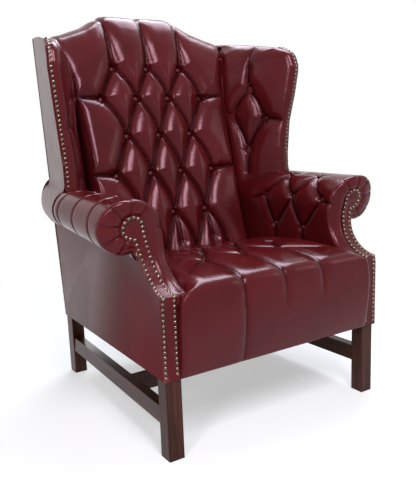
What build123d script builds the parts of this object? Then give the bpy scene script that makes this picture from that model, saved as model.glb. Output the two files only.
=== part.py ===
"""High back wingback chair: buttoned leather over a jointed wood frame on straight legs with stretchers.

+Z is up, -Y is the front and +X is to the right of someone who faces the chair. The origin is on the
floor under the middle of the whole chair. Depths named "setback" are measured from the front legs' faces.
"""
import os
from math import atan2, cos, pi, radians, sin, sqrt, tan

from build123d import *

# Overall sizes, in millimetres
crest_height = 1170
shoulder_height = 1090
crest_back_height = 1157
seat_height = 455
arm_height = 642
inside_half_width = 277
rear_half_width = 340
rear_setback = 697
back_rake_angle = 6.4
inside_back_setback = 485
inside_back_lean_angle = 16.9
seat_overhang = 28

# Leather, cloth and stuffing
cover_thickness = 3.5
cover_hem_height = 209
canvas_thickness = 1.4
soft_gap = 0.3
overrun = 60

# Legs
leg_size = 42
leg_half_span = 353
leg_corner_round = 4
foot_size = 40
foot_half_span = 324
foot_setback = 728

# Frame timber
rail_bottom = 214
rail_height = 80
rail_thickness = 26
post_width = 40
post_depth = 45
tenon_thickness = 12
tenon_height = 40
tenon_length = 16

# Stretchers
stretcher_bottom = 86
stretcher_height = 46
stretcher_thickness = 27
stretcher_inset = 3
stretcher_tenon_share = 0.65
cross_stretcher_setback = 247
cross_stretcher_thickness = 26

rail_top = rail_bottom + rail_height
rail_middle = rail_bottom + rail_height / 2
stretcher_middle = stretcher_bottom + stretcher_height / 2
rake_slope = tan(radians(back_rake_angle))
lean_slope = tan(radians(inside_back_lean_angle))


def rear(height):
    """Setback of the outside back's rear face at a height."""
    return rear_setback + (height - cover_hem_height) * rake_slope


def post_front(height):
    """Setback of the back posts' front faces at a height."""
    return rear(height) - cover_thickness - post_depth


def back_face(height):
    """Setback of the inside back's crowned surface at a height."""
    return inside_back_setback + (height - seat_height) * lean_slope


def flank(setback):
    """Half width over the frame's sides at a setback: the chair narrows towards its back."""
    share = setback / rear_setback
    return leg_half_span + (rear_half_width - cover_thickness - leg_half_span) * share


overall_depth = rear(crest_back_height) + seat_overhang
front_y = seat_overhang - overall_depth / 2
plan = Plane((0, front_y, 0))
profile = Plane((0, front_y, 0), x_dir=(0, 1, 0), z_dir=(1, 0, 0))
elevation = Plane((0, front_y, 0), x_dir=(1, 0, 0), z_dir=(0, -1, 0))
across = rear_half_width * 2
through = overall_depth * 2


def write(piece, name):
    """Label a piece and write its file."""
    piece.label = name
    export_step(piece, f"parts/{name}.step")


def write_pair(piece, name):
    """Write the piece of the +X side and its mirror image on the -X side."""
    write(piece, f"{name}_right")
    write(mirror(piece, about=Plane.YZ), f"{name}_left")


os.makedirs("parts", exist_ok=True)

# Tenons, each cut into the piece that holds it
with BuildPart() as front_rail_tenon:
    with BuildSketch(plan.offset(rail_middle - tenon_height / 2)):
        with Locations((0, rail_thickness / 2 + cover_thickness)):
            Rectangle((leg_half_span - leg_size + tenon_length) * 2, tenon_thickness)
    extrude(amount=tenon_height)

side_tenon_x = flank(leg_size) - rail_thickness / 2
side_tenon_back_x = flank(rear_setback) - rail_thickness / 2
with BuildPart() as side_rail_tenons:
    with BuildSketch(plan.offset(rail_middle - tenon_height / 2)):
        with Locations((side_tenon_x, leg_size)):
            Rectangle(tenon_thickness, tenon_length * 2)
        with Locations((side_tenon_back_x, post_front(rail_middle))):
            Rectangle(tenon_thickness, tenon_length * 2)
    extrude(amount=tenon_height)

stretcher_front_x = leg_half_span - stretcher_inset
foot_share = stretcher_middle / cover_hem_height
stretcher_back_x = foot_half_span + (flank(rear_setback) - foot_half_span) * foot_share - stretcher_inset
foot_gain = (foot_setback - rear_setback + cover_thickness) * foot_share
stretcher_back_setback = foot_setback - foot_size - foot_gain
stretcher_tenon_height = stretcher_height * stretcher_tenon_share
with BuildPart() as stretcher_tenons:
    with BuildSketch(plan.offset(stretcher_middle - stretcher_tenon_height / 2)):
        with Locations((stretcher_front_x - stretcher_thickness / 2, leg_size)):
            Rectangle(tenon_thickness, tenon_length * 2)
        with Locations((stretcher_back_x - stretcher_thickness / 2, stretcher_back_setback)):
            Rectangle(tenon_thickness, tenon_length * 3)
    extrude(amount=stretcher_tenon_height)


def stretcher_outer(setback):
    """Half width over the side stretchers' outer faces at a setback."""
    share = (setback - leg_size) / (stretcher_back_setback - leg_size)
    return stretcher_front_x + (stretcher_back_x - stretcher_front_x) * share


cross_middle = cross_stretcher_setback + cross_stretcher_thickness / 2
cross_span = (stretcher_outer(cross_middle) - stretcher_thickness + tenon_length) * 2
with BuildPart() as cross_tenon:
    with BuildSketch(plan.offset(stretcher_middle - stretcher_tenon_height / 2)):
        with Locations((0, cross_middle)):
            Rectangle(cross_span, tenon_thickness)
    extrude(amount=stretcher_tenon_height)

# Corner block screws: one through each block into the leg behind it
screw_length = 62
screw_radius = 2.5
screw_head_radius = 5
screw_head_height = 3
block_reach = 95
back_block_reach = 80
block_height = 44
front_inner = rail_thickness + cover_thickness
back_rail_front = post_front(rail_bottom) + post_depth / 4
block_x = flank(front_inner) - rail_thickness
block_back_x = flank(rear_setback) - rail_thickness


def screw_plane(x, setback, turn):
    """Plane at a corner block's slanting face, with its normal pointing out of the corner."""
    return Plane((x, front_y + setback, rail_middle), z_dir=(-1, turn, 0))


front_screw_plane = screw_plane(block_x - block_reach / 2, front_inner + block_reach / 2, 1)
back_screw_plane = screw_plane(
    block_back_x - back_block_reach / 2, back_rail_front - back_block_reach / 2, -1
)
with BuildPart() as corner_screws:
    for place in (front_screw_plane, back_screw_plane):
        with BuildSketch(place):
            Circle(screw_head_radius)
        extrude(amount=-screw_head_height)
        with BuildSketch(place):
            Circle(screw_radius)
        extrude(amount=-screw_length)
    mirror(about=Plane.YZ)
write(corner_screws.part, "corner_screws")

# Front legs
with BuildPart() as front_leg:
    with BuildSketch(plan):
        with Locations((leg_half_span, 0)):
            Rectangle(leg_size, leg_size, align=(Align.MAX, Align.MIN))
    extrude(amount=rail_top)
    fillet(front_leg.edges().filter_by(Axis.Z).sort_by(Axis.Y)[:2].sort_by(Axis.X)[-1], leg_corner_round)
    for tenon in (front_rail_tenon, side_rail_tenons, stretcher_tenons, corner_screws):
        add(tenon.part, mode=Mode.SUBTRACT)
write_pair(front_leg.part, "front_leg")

# Back legs: raked feet, and above the hem a half lap against the back post
lap_x = flank(rear_setback) - post_width / 2
with BuildPart() as back_leg_blank:
    with BuildSketch(profile):
        Polygon(
            (foot_setback - foot_size, 0),
            (foot_setback, 0),
            (rear(cover_hem_height) - cover_thickness, cover_hem_height),
            (rear(rail_top) - cover_thickness, rail_top),
            (post_front(rail_top), rail_top),
            (rear(cover_hem_height) - cover_thickness - foot_size, cover_hem_height),
            align=None,
        )
    extrude(amount=across)
    with BuildSketch(elevation):
        Polygon(
            (foot_half_span - foot_size, 0),
            (foot_half_span, 0),
            (flank(rear_setback), cover_hem_height),
            (flank(rear_setback), rail_top),
            (flank(rear_setback) - post_width, rail_top),
            (flank(rear_setback) - post_width, cover_hem_height),
            align=None,
        )
    extrude(amount=-through, mode=Mode.INTERSECT)

with BuildPart() as back_leg:
    add(back_leg_blank.part)
    with BuildSketch(elevation):
        with Locations((lap_x, rail_bottom)):
            Rectangle(post_width, rail_height, align=(Align.MAX, Align.MIN))
    extrude(amount=-through, mode=Mode.SUBTRACT)
    for tenon in (side_rail_tenons, stretcher_tenons, corner_screws):
        add(tenon.part, mode=Mode.SUBTRACT)
write_pair(back_leg.part, "back_leg")

# Back posts: raked uprights that lap the legs below and carry the crest rail above
crest_rail_height = 95
crest_padding = 34
crest_rail_bottom = crest_height - crest_padding - crest_rail_height
crest_lap_share = 0.35
post_top = crest_rail_bottom + crest_rail_height * crest_lap_share
tack_rail_bottom = 424
tack_rail_height = 46
with BuildPart() as post_tenons:
    with BuildSketch(plan.offset(crest_rail_bottom)):
        with Locations((0, rear(crest_rail_bottom) - cover_thickness - post_depth / 3)):
            Rectangle((lap_x - tenon_length / 4) * 2, tenon_thickness)
    extrude(amount=post_top - crest_rail_bottom - tenon_thickness)
    for level, height in ((tack_rail_bottom, tack_rail_height), (rail_bottom, rail_height)):
        with BuildSketch(plan.offset(level + height / 4)):
            with Locations((0, post_front(level + height / 2) + post_depth / 2)):
                Rectangle((lap_x - tenon_length / 4) * 2, tenon_thickness)
        extrude(amount=height / 2)

with BuildPart() as back_post:
    with BuildSketch(profile):
        Polygon(
            (post_front(rail_bottom), rail_bottom),
            (post_front(rail_bottom) + post_depth, rail_bottom),
            (post_front(post_top) + post_depth, post_top),
            (post_front(post_top), post_top),
            align=None,
        )
    extrude(amount=across)
    with BuildSketch(elevation):
        with Locations((flank(rear_setback), rail_bottom)):
            Rectangle(post_width, post_top - rail_bottom, align=(Align.MAX, Align.MIN))
    extrude(amount=-through, mode=Mode.INTERSECT)
    with BuildSketch(elevation):
        with Locations((lap_x, rail_bottom)):
            Rectangle(post_width, rail_height, align=(Align.MIN, Align.MIN))
    extrude(amount=-through, mode=Mode.SUBTRACT)
    for tenon in (post_tenons, corner_screws):
        add(tenon.part, mode=Mode.SUBTRACT)
write_pair(back_post.part, "back_post")

# Side stretchers, tapering in towards the back with the legs
with BuildPart() as side_stretcher:
    with BuildSketch(plan.offset(stretcher_bottom)):
        Polygon(
            (stretcher_front_x - stretcher_thickness, leg_size),
            (stretcher_front_x, leg_size),
            (stretcher_outer(rear_setback), rear_setback),
            (stretcher_outer(rear_setback) - stretcher_thickness, rear_setback),
            align=None,
        )
    extrude(amount=stretcher_height)
    add(back_leg_blank.part, mode=Mode.SUBTRACT)
    for tenon in (stretcher_tenons, cross_tenon):
        add(tenon.part, mode=Mode.SUBTRACT if tenon is cross_tenon else Mode.ADD)
write_pair(side_stretcher.part, "side_stretcher")

# Cross stretcher between the side stretchers
with BuildPart() as cross_stretcher:
    with BuildSketch(plan.offset(stretcher_bottom)):
        with Locations((0, cross_middle)):
            Rectangle(cross_span, cross_stretcher_thickness)
    extrude(amount=stretcher_height)
    add(side_stretcher.part, mode=Mode.SUBTRACT)
    add(mirror(side_stretcher.part, about=Plane.YZ), mode=Mode.SUBTRACT)
write(cross_stretcher.part, "cross_stretcher")

# Seat rails, tenoned into the legs and posts
front_rail_span = (leg_half_span - leg_size + tenon_length) * 2
with BuildPart() as front_seat_rail:
    with BuildSketch(plan.offset(rail_bottom)):
        with Locations((0, cover_thickness + rail_thickness / 2)):
            Rectangle(front_rail_span, rail_thickness)
    extrude(amount=rail_height)
    add(front_leg.part, mode=Mode.SUBTRACT)
    add(mirror(front_leg.part, about=Plane.YZ), mode=Mode.SUBTRACT)
    add(corner_screws.part, mode=Mode.SUBTRACT)
write(front_seat_rail.part, "front_seat_rail")

with BuildPart() as side_seat_rail:
    with BuildSketch(plan.offset(rail_bottom)):
        Polygon(
            (flank(leg_size) - rail_thickness, leg_size - tenon_length),
            (flank(leg_size), leg_size - tenon_length),
            (flank(rear_setback), post_front(rail_middle) + tenon_length),
            (flank(rear_setback) - rail_thickness, post_front(rail_middle) + tenon_length),
            align=None,
        )
    extrude(amount=rail_height)
    for neighbour in (front_leg, back_leg, back_post, corner_screws):
        add(neighbour.part, mode=Mode.SUBTRACT)
write_pair(side_seat_rail.part, "side_seat_rail")

back_rail_span = (lap_x - tenon_length / 4) * 2
with BuildPart() as back_seat_rail:
    with BuildSketch(plan.offset(rail_bottom)):
        with Locations((0, back_rail_front + rail_thickness / 2)):
            Rectangle(back_rail_span, rail_thickness)
    extrude(amount=rail_height)
    add(back_post.part, mode=Mode.SUBTRACT)
    add(mirror(back_post.part, about=Plane.YZ), mode=Mode.SUBTRACT)
    add(corner_screws.part, mode=Mode.SUBTRACT)
write(back_seat_rail.part, "back_seat_rail")

# Corner blocks glued and screwed into the four corners of the seat frame
with BuildPart() as corner_blocks:
    with BuildSketch(plan.offset(rail_middle - block_height / 2)):
        Polygon(
            (block_x - block_reach, front_inner),
            (block_x, front_inner),
            (block_x, front_inner + block_reach),
            align=None,
        )
        Polygon(
            (block_back_x - back_block_reach, back_rail_front),
            (block_back_x, back_rail_front),
            (block_back_x, back_rail_front - back_block_reach),
            align=None,
        )
    extrude(amount=block_height)
    for neighbour in (front_leg, back_leg, back_post, corner_screws):
        add(neighbour.part, mode=Mode.SUBTRACT)
    for neighbour in (side_seat_rail, front_seat_rail, back_seat_rail):
        add(neighbour.part, mode=Mode.SUBTRACT)
    mirror(about=Plane.YZ)
write(corner_blocks.part, "corner_blocks")

# Rails of the back frame: a low tack rail and the shaped crest rail
post_span = (lap_x - tenon_length / 4) * 2
with BuildPart() as back_tack_rail:
    with BuildSketch(plan.offset(tack_rail_bottom)):
        with Locations((0, post_front(tack_rail_bottom + tack_rail_height / 2) + post_depth / 2)):
            Rectangle(post_span, rail_thickness)
    extrude(amount=tack_rail_height)
    add(back_post.part, mode=Mode.SUBTRACT)
    add(mirror(back_post.part, about=Plane.YZ), mode=Mode.SUBTRACT)
write(back_tack_rail.part, "back_tack_rail")


def crest_line(drop):
    """Draw the crest's outline from the right shoulder over the middle to the left, lowered by a drop."""
    top = crest_height - drop
    rise = crest_height - shoulder_height
    for side in (1, -1):
        shoulder = (side * crest_shoulder_x, top - rise)
        dip = (side * crest_shoulder_x * crest_dip_share, top - rise * crest_dip_drop_share)
        ogee = (side * crest_shoulder_x * crest_ogee_share, top - rise * crest_ogee_drop_share)
        brow = (side * crest_shoulder_x * crest_brow_share, top - rise * crest_brow_drop_share)
        crown = (side * crest_shoulder_x * crest_crown_share, top)
        ThreePointArc(shoulder, dip, ogee)
        Line(ogee, brow)
        TangentArc(crown, brow, tangent=(side, 0))
    Line((crest_shoulder_x * crest_crown_share, top), (-crest_shoulder_x * crest_crown_share, top))


def crest_outline(drop, foot):
    """Draw around the area below the crest's line, lowered by a drop, down to a foot height."""
    crest_line(drop)
    Polyline(
        (crest_shoulder_x, shoulder_height - drop),
        (crest_shoulder_x, foot),
        (-crest_shoulder_x, foot),
        (-crest_shoulder_x, shoulder_height - drop),
    )


# Crest outline: concave shoulders that sweep up to a flat raised middle
crest_shoulder_x = 322
crest_dip_share = 0.79
crest_dip_drop_share = 0.79
crest_ogee_share = 0.6
crest_ogee_drop_share = 0.52
crest_brow_share = 0.43
crest_brow_drop_share = 0.13
crest_crown_share = 0.32
crest_rail_front_step = cover_thickness + rail_thickness


def rear_slab(front_step, back_step, low, high):
    """Draw an upright slab of the raked back as seen from the side, between two depths in from the rear."""
    Polygon(
        (rear(low) - front_step, low),
        (rear(low) - back_step, low),
        (rear(high) - back_step, high),
        (rear(high) - front_step, high),
        align=None,
    )


with BuildPart() as crest_rail:
    with BuildSketch(elevation):
        with BuildLine():
            crest_outline(crest_padding, crest_rail_bottom)
        make_face()
        with Locations((0, crest_rail_bottom)):
            Rectangle(post_span, across, align=(Align.CENTER, Align.MIN), mode=Mode.INTERSECT)
    extrude(amount=-through)
    with BuildSketch(profile):
        rear_slab(crest_rail_front_step, cover_thickness, crest_rail_bottom, crest_height)
    extrude(amount=across, both=True, mode=Mode.INTERSECT)
    add(back_post.part, mode=Mode.SUBTRACT)
    add(mirror(back_post.part, about=Plane.YZ), mode=Mode.SUBTRACT)
write(crest_rail.part, "crest_rail")

# Arm front edge seen from the side: up the leg, back over the knee, up the neck and forward to the scroll
facing_thickness = 4
knee_height = 418
sweep_radius = 118
neck_height = 535
scroll_lean_radius = 218
sweep_setback = -facing_thickness - sqrt(sweep_radius**2 - (neck_height - knee_height) ** 2)
neck_setback = sweep_setback + sweep_radius
scroll_top = arm_height + overrun


def scroll_setback(height):
    """Setback of the facing's front surface at a height."""
    if height < knee_height:
        return -facing_thickness
    if height < neck_height:
        return sweep_setback + sqrt(sweep_radius**2 - (neck_height - height) ** 2)
    return neck_setback - scroll_lean_radius + sqrt(scroll_lean_radius**2 - (height - neck_height) ** 2)


def arm_side(front, inset, foot):
    """Draw the arm as seen from the side: its front edge moved in, upright at a front setback."""
    radius = sweep_radius + inset
    lean = scroll_lean_radius + inset
    low = neck_height - sqrt(radius**2 - (front - sweep_setback) ** 2)
    turn = atan2(neck_height - low, front - sweep_setback) / 2
    middle = (sweep_setback + radius * cos(turn), neck_height - radius * sin(turn))
    neck = (neck_setback + inset, neck_height)
    head_setback = neck_setback - scroll_lean_radius + sqrt(lean**2 - (scroll_top - neck_height) ** 2)
    Line((front, foot), (front, low))
    ThreePointArc((front, low), middle, neck)
    TangentArc(neck, (head_setback, scroll_top), tangent=(0, 1))
    Polyline(
        (head_setback, scroll_top),
        (rear(scroll_top) - cover_thickness, scroll_top),
        (rear(foot) - cover_thickness, foot),
        (front, foot),
    )


# Arm facing: a nailed leather strip over the leg and the arm post, ending in a round knob
facing_inner_x = 314
facing_outer_x = leg_half_span + cover_thickness * 2
facing_taper = 4
neck_width = 42
knob_height = 572
knob_radius = 33
knob_x = 369
taper_height = (knee_height + neck_height) / 2
taper_start = knee_height - neck_width / 2
with BuildSketch(elevation) as facing_shape:
    with BuildLine():
        Polyline(
            (facing_inner_x, taper_start),
            (facing_inner_x, cover_hem_height),
            (facing_outer_x, cover_hem_height),
            (facing_outer_x, taper_start),
        )
        ThreePointArc(
            (facing_outer_x, taper_start),
            (facing_outer_x - facing_taper, taper_height),
            (knob_x, knob_height - knob_radius),
        )
        Polyline(
            (knob_x, knob_height - knob_radius),
            (knob_x, knob_height),
            (knob_x - knob_radius, knob_height),
            (knob_x - neck_width, neck_height),
        )
        ThreePointArc(
            (knob_x - neck_width, neck_height),
            (facing_inner_x + facing_taper, taper_height),
            (facing_inner_x, taper_start),
        )
    make_face()
    with Locations((knob_x, knob_height)):
        Circle(knob_radius)

with BuildPart() as arm_facing:
    extrude(facing_shape.sketch, amount=-through)
    extrude(facing_shape.sketch, amount=facing_thickness)
    with BuildSketch(profile):
        with BuildLine():
            arm_side(-facing_thickness, 0, cover_hem_height)
        make_face()
    extrude(amount=across, mode=Mode.INTERSECT)
    with BuildSketch(profile):
        with BuildLine():
            arm_side(0, facing_thickness, cover_hem_height)
        make_face()
    extrude(amount=across, mode=Mode.SUBTRACT)
write_pair(arm_facing.part, "arm_facing")

# Arm post: the scroll-shaped board on top of the front leg
arm_post_thickness = 34
arm_post_trim_height = 505
post_depth_inset = facing_thickness + arm_post_thickness
with BuildPart() as arm_post:
    extrude(facing_shape.sketch, amount=-through)
    with BuildSketch(profile):
        with BuildLine():
            arm_side(0, facing_thickness, rail_top)
        make_face()
    extrude(amount=across, mode=Mode.INTERSECT)
    with BuildSketch(profile):
        with BuildLine():
            arm_side(arm_post_thickness, post_depth_inset, rail_top)
        make_face()
    extrude(amount=across, mode=Mode.SUBTRACT)
    with BuildSketch(plan):
        Polygon(
            (flank(0), 0),
            (across, 0),
            (across, rear_setback),
            (flank(rear_setback), rear_setback),
            align=None,
        )
    extrude(amount=arm_post_trim_height, mode=Mode.SUBTRACT)
write_pair(arm_post.part, "arm_post")

# Arm rail: a board laid flat inside the roll, from the scroll to the back post
arm_rail_bottom = 548
arm_rail_thickness = 25
arm_rail_inner_x = 312
arm_rail_outer_x = 412
arm_rail_back_x = 348
roll_turn_setback = 400
arm_rail_top = arm_rail_bottom + arm_rail_thickness
with BuildPart() as arm_rail:
    with BuildSketch(plan.offset(arm_rail_bottom)):
        Polygon(
            (arm_rail_inner_x, neck_setback),
            (arm_rail_outer_x, neck_setback + arm_post_thickness),
            (arm_rail_outer_x, roll_turn_setback),
            (arm_rail_back_x, post_front(arm_rail_top)),
            (arm_rail_inner_x, post_front(arm_rail_top)),
            align=None,
        )
    extrude(amount=arm_rail_thickness)
    for neighbour in (arm_post, back_post):
        add(neighbour.part, mode=Mode.SUBTRACT)
write_pair(arm_rail.part, "arm_rail")

# Wing outline at a row of levels, from the arm rail up past the shoulder
wing_level_shares = (0, 0.24, 0.43, 0.6, 0.73, 1)
wing_half_width = 431
wing_setback = 437
wing_edge_x_shares = (0.932, 0.931, 0.951, 0.981, 1, 1)
wing_edge_setback_shares = (0.99, 0.998, 0.995, 0.961, 0.943, 0.943)
joint_x_shares = (1, 1, 1.003, 0.993, 1.01, 1.165)
joint_setback_shares = (1.323, 1.386, 1.418, 1.438, 1.455, 1.55)
wing_band = 26
wing_frame_lead = 8
wing_frame_thickness = 20
wing_post_width = 45
wing_post_run = wing_frame_lead + wing_post_width
wing_rail_height = 45
wing_padding = 22
deck_thickness = canvas_thickness * 2
wing_top_level = shoulder_height + overrun / 2


class WingLevel:
    """Corners of the wing seen from above at one level."""

    def __init__(self, level, edge_x_share, edge_setback_share, joint_x_share, joint_setback_share):
        self.height = arm_rail_top + (wing_top_level - arm_rail_top) * level
        self.edge = Vector(wing_half_width * edge_x_share, wing_setback * edge_setback_share)
        self.corner = Vector(flank(rear_setback), rear(self.height) - cover_thickness)
        self.joint = Vector(inside_half_width * joint_x_share, wing_setback * joint_setback_share)
        self.along = (self.corner - self.edge).normalized()
        self.inward = Vector(-self.along.Y, self.along.X)
        self.band = self.edge + self.inward * wing_band
        deck = post_front(self.height) - deck_thickness
        self.reach = (deck - self.edge.Y) / self.along.Y
        self.deck = self.edge + self.along * self.reach
        self.deck_joint = Vector(self.joint.X, deck)

    def strip(self, start, stop, near, far):
        """Corners of a strip along the outer face, between two runs and two depths inward."""
        return [
            self.edge + self.along * start + self.inward * near,
            self.edge + self.along * start + self.inward * far,
            self.edge + self.along * stop + self.inward * far,
            self.edge + self.along * stop + self.inward * near,
        ]


wing_levels = [
    WingLevel(*shares)
    for shares in zip(
        wing_level_shares,
        wing_edge_x_shares,
        wing_edge_setback_shares,
        joint_x_shares,
        joint_setback_shares,
    )
]


def wing_loft(outline):
    """A solid ruled through one outline at each level of the wing."""
    with BuildPart() as body:
        for level in wing_levels:
            with BuildSketch(plan.offset(level.height)):
                Polygon(*[(corner.X, corner.Y) for corner in outline(level)], align=None)
        loft(ruled=True)
    return body.part


# Wing top seen from the side: a rounded front corner and a gentle rise to the shoulder
wing_top_front = 411
wing_corner_height = 985
wing_brow_setback = 480
wing_brow_height = 1054
wing_crown_height = shoulder_height + cover_thickness
wing_swell_share = 0.28
wing_bend_share = 0.66


def wing_corner(drop=0):
    """Draw the wing's rounded front corner as seen from the side, lowered by a drop."""
    bend = wing_brow_height - wing_corner_height
    swell = wing_brow_setback - wing_top_front
    ThreePointArc(
        (wing_top_front, wing_corner_height - drop),
        (wing_top_front + swell * wing_swell_share, wing_corner_height + bend * wing_bend_share - drop),
        (wing_brow_setback, wing_brow_height - drop),
    )


def wing_side(drop):
    """Draw everything below the wing's top edge, lowered by a drop, as seen from the side."""
    front = wing_setback - across / 2
    back = rear(shoulder_height)
    hump_height = (wing_brow_height + wing_crown_height) / 2 + leg_corner_round * 2
    Line((front, wing_corner_height - drop), (wing_top_front, wing_corner_height - drop))
    wing_corner(drop)
    ThreePointArc(
        (wing_brow_setback, wing_brow_height - drop),
        ((wing_brow_setback + back) / 2, hump_height - drop),
        (back, wing_crown_height - drop),
    )
    Polyline(
        (back, wing_crown_height - drop),
        (through, wing_crown_height - drop),
        (through, 0),
        (front, 0),
        (front, wing_corner_height - drop),
    )


with BuildPart() as wing_frame_space:
    with BuildSketch(profile):
        with BuildLine():
            wing_side(wing_padding)
        make_face()
    extrude(amount=across)

with BuildPart() as wing_post:
    add(wing_loft(lambda level: level.strip(wing_frame_lead, wing_post_run, 0, wing_frame_thickness)))
    add(wing_frame_space.part, mode=Mode.INTERSECT)
write_pair(wing_post.part, "wing_post")

with BuildPart() as wing_rail:
    add(wing_loft(lambda level: level.strip(wing_post_run, level.reach, 0, wing_frame_thickness)))
    add(wing_frame_space.part, mode=Mode.INTERSECT)
    with BuildSketch(profile):
        with BuildLine():
            wing_side(wing_padding + wing_rail_height)
        make_face()
    extrude(amount=across, mode=Mode.SUBTRACT)
write_pair(wing_rail.part, "wing_rail")

# Buttons and the folds sewn between them
button_radius = 9.5
button_sink = 1
fold_brim = 1.5
fold_lap = 8


def spot(x, setback, height):
    """A point of the model from its half width, setback and height."""
    return Vector(x, front_y + setback, height)


def cut_fold(start, end, outward, width, depth):
    """Cut a sewn fold with puffed sides along a line out of the pad being built."""
    lap = (end - start).normalized() * fold_lap
    start = start - lap
    run = end + lap - start
    brim = depth + fold_brim
    with BuildSketch(Plane(origin=start, x_dir=outward.cross(run), z_dir=run)) as fold:
        with BuildLine():
            TangentArc((-width / 2, brim), (0, 0), tangent=(1, 0))
            TangentArc((width / 2, brim), (0, 0), tangent=(-1, 0))
            Polyline(
                (width / 2, brim),
                (width / 2, brim + overrun),
                (-width / 2, brim + overrun),
                (-width / 2, brim),
            )
        make_face()
    extrude(fold.sketch, amount=run.length, mode=Mode.SUBTRACT)


# Leather covered buttons, drawn down to the bottom of the folds
button_height = 7
button_dome_radius = (button_radius**2 + button_height**2) / (2 * button_height)
with BuildPart() as button:
    with Locations((0, 0, button_height - button_dome_radius)):
        Sphere(button_dome_radius)
    split(bisect_by=Plane.XY, keep=Keep.TOP)


def cut_button_seat(place, outward):
    """Cut the pit that a button is drawn down into out of the pad being built."""
    with Locations(Plane(origin=place - outward * button_sink, z_dir=outward).location):
        Cylinder(
            button_radius + soft_gap,
            overrun,
            align=(Align.CENTER, Align.CENTER, Align.MIN),
            mode=Mode.SUBTRACT,
        )


def buttons_at(places):
    """One button standing at each place."""
    with BuildPart() as group:
        for place, outward in places:
            add(Plane(origin=place - outward * button_sink, z_dir=outward).location * button.part)
    return group.part


# Arm pad: stuffed leather from the seat up the inside of the arm and round the rolled top
arm_inner_x = 276
arm_stuffing_height = 545
roll_front_x = 388
roll_front_half_width = 70
roll_front_half_height = 69
roll_turn_x = 392
roll_turn_half_width = 60
roll_turn_half_height = 53
roll_back_x = 330
roll_back_half_width = 38
roll_back_half_height = 50
roll_tuck = 3
roll_front_setback = 90
turn_share = sin(pi / 4)


class RollSection:
    """Sizes of the rolled arm in an upright plane across the chair at one setback."""

    def __init__(self, setback, centre_x, half_width, half_height):
        self.setback = setback
        self.x = centre_x
        self.half_width = half_width
        self.half_height = half_height


def roll_loft(sections, grow, inner_x):
    """A solid ruled through the arm's sections, with its roll grown outwards by a skin."""
    with BuildPart() as body:
        for section in sections:
            wide = section.half_width + grow
            tall = section.half_height + grow
            middle = arm_height - section.half_height
            top = (section.x, middle + tall)
            outermost = (section.x + wide, middle)
            bottom = (section.x, middle - tall)
            turn_x = section.x + wide * turn_share
            turn_rise = tall * turn_share
            skirt_x = flank(section.setback)
            start = (inner_x, arm_stuffing_height)
            with BuildSketch(elevation.offset(-section.setback)):
                with BuildLine():
                    Line((inner_x, rail_top), start)
                    TangentArc(start, top, tangent=(0, 1))
                    ThreePointArc(top, (turn_x, middle + turn_rise), outermost)
                    ThreePointArc(outermost, (turn_x, middle - turn_rise), bottom)
                    Polyline(
                        bottom,
                        (skirt_x, middle - tall + roll_tuck),
                        (skirt_x, arm_rail_bottom),
                        (arm_rail_inner_x, arm_rail_bottom),
                        (arm_rail_inner_x, rail_top),
                        (inner_x, rail_top),
                    )
                make_face()
        loft(ruled=True)
    return body.part


# The roll's sections from the front: a pleat is a thinner section between two full ones
roll_pleat_setbacks = (175, 280, 388)
roll_pleat_width = 16
roll_pleat_depth = 6
roll_pleat_under_share = 0.3


def roll_section(setback, pinch):
    """Section of the roll between its front and its turn, drawn in by a pinch."""
    share = (setback - roll_front_setback) / (roll_turn_setback - roll_front_setback)
    centre_x = roll_front_x + (roll_turn_x - roll_front_x) * share
    half_width = roll_front_half_width + (roll_turn_half_width - roll_front_half_width) * share
    half_height = roll_front_half_height + (roll_turn_half_height - roll_front_half_height) * share
    return RollSection(setback, centre_x, half_width - pinch, half_height - pinch * roll_pleat_under_share)


roll_sections = [
    RollSection(cover_thickness, roll_front_x, roll_front_half_width, roll_front_half_height),
    roll_section(roll_front_setback, 0),
]
for pleat_setback in roll_pleat_setbacks:
    roll_sections.append(roll_section(pleat_setback - roll_pleat_width / 2, 0))
    roll_sections.append(roll_section(pleat_setback, roll_pleat_depth))
    roll_sections.append(roll_section(pleat_setback + roll_pleat_width / 2, 0))
roll_sections += [
    roll_section(roll_turn_setback, 0),
    RollSection(rear(arm_height), roll_back_x, roll_back_half_width, roll_back_half_height),
]

# Places of the arm's buttons: (setback, height) in three rows, and the half width of each row's seat
arm_top_row = [(222, 633), (354, 633)]
arm_middle_row = [(157, 568), (288, 568), (420, 568)]
arm_low_row = [(230, 478), (363, 478)]
arm_top_row_x = 352
arm_middle_row_x = 303
arm_low_row_x = 292
arm_fold_width = 84
arm_fold_depth = 16

arm_edge_setback = 62
arm_front_fold_height = 512


def rear_block(low, high):
    """Draw everything behind the padding of the back frame as seen from the side."""
    Polygon(
        (post_front(low) - deck_thickness, low),
        (through, low),
        (through, high),
        (post_front(high) - deck_thickness, high),
        align=None,
    )


def arm_spot(place, half_width):
    """A point on the inside of the +X arm from a (setback, height) pair and a half width."""
    return spot(half_width, place[0], place[1])


arm_inward = Vector(-1, 0, 0)
arm_up_inward = Vector(-1, 0, 1).normalized()
arm_folds = []
for low_place in arm_low_row:
    low_spot = arm_spot(low_place, arm_low_row_x)
    arm_folds.append((low_spot, arm_spot((low_place[0], rail_top), arm_low_row_x), arm_inward))
    for middle_place in arm_middle_row:
        if abs(low_place[0] - middle_place[0]) < arm_fold_width:
            arm_folds.append((low_spot, arm_spot(middle_place, arm_middle_row_x), arm_inward))
for top_place in arm_top_row:
    for middle_place in arm_middle_row:
        if abs(top_place[0] - middle_place[0]) < arm_fold_width:
            start = arm_spot(middle_place, arm_middle_row_x)
            arm_folds.append((start, arm_spot(top_place, arm_top_row_x), arm_up_inward))
front_button = arm_spot(arm_middle_row[0], arm_middle_row_x)
front_edge = arm_spot((arm_edge_setback, arm_front_fold_height), arm_middle_row_x)
arm_folds.append((front_button, front_edge, arm_inward))

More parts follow.
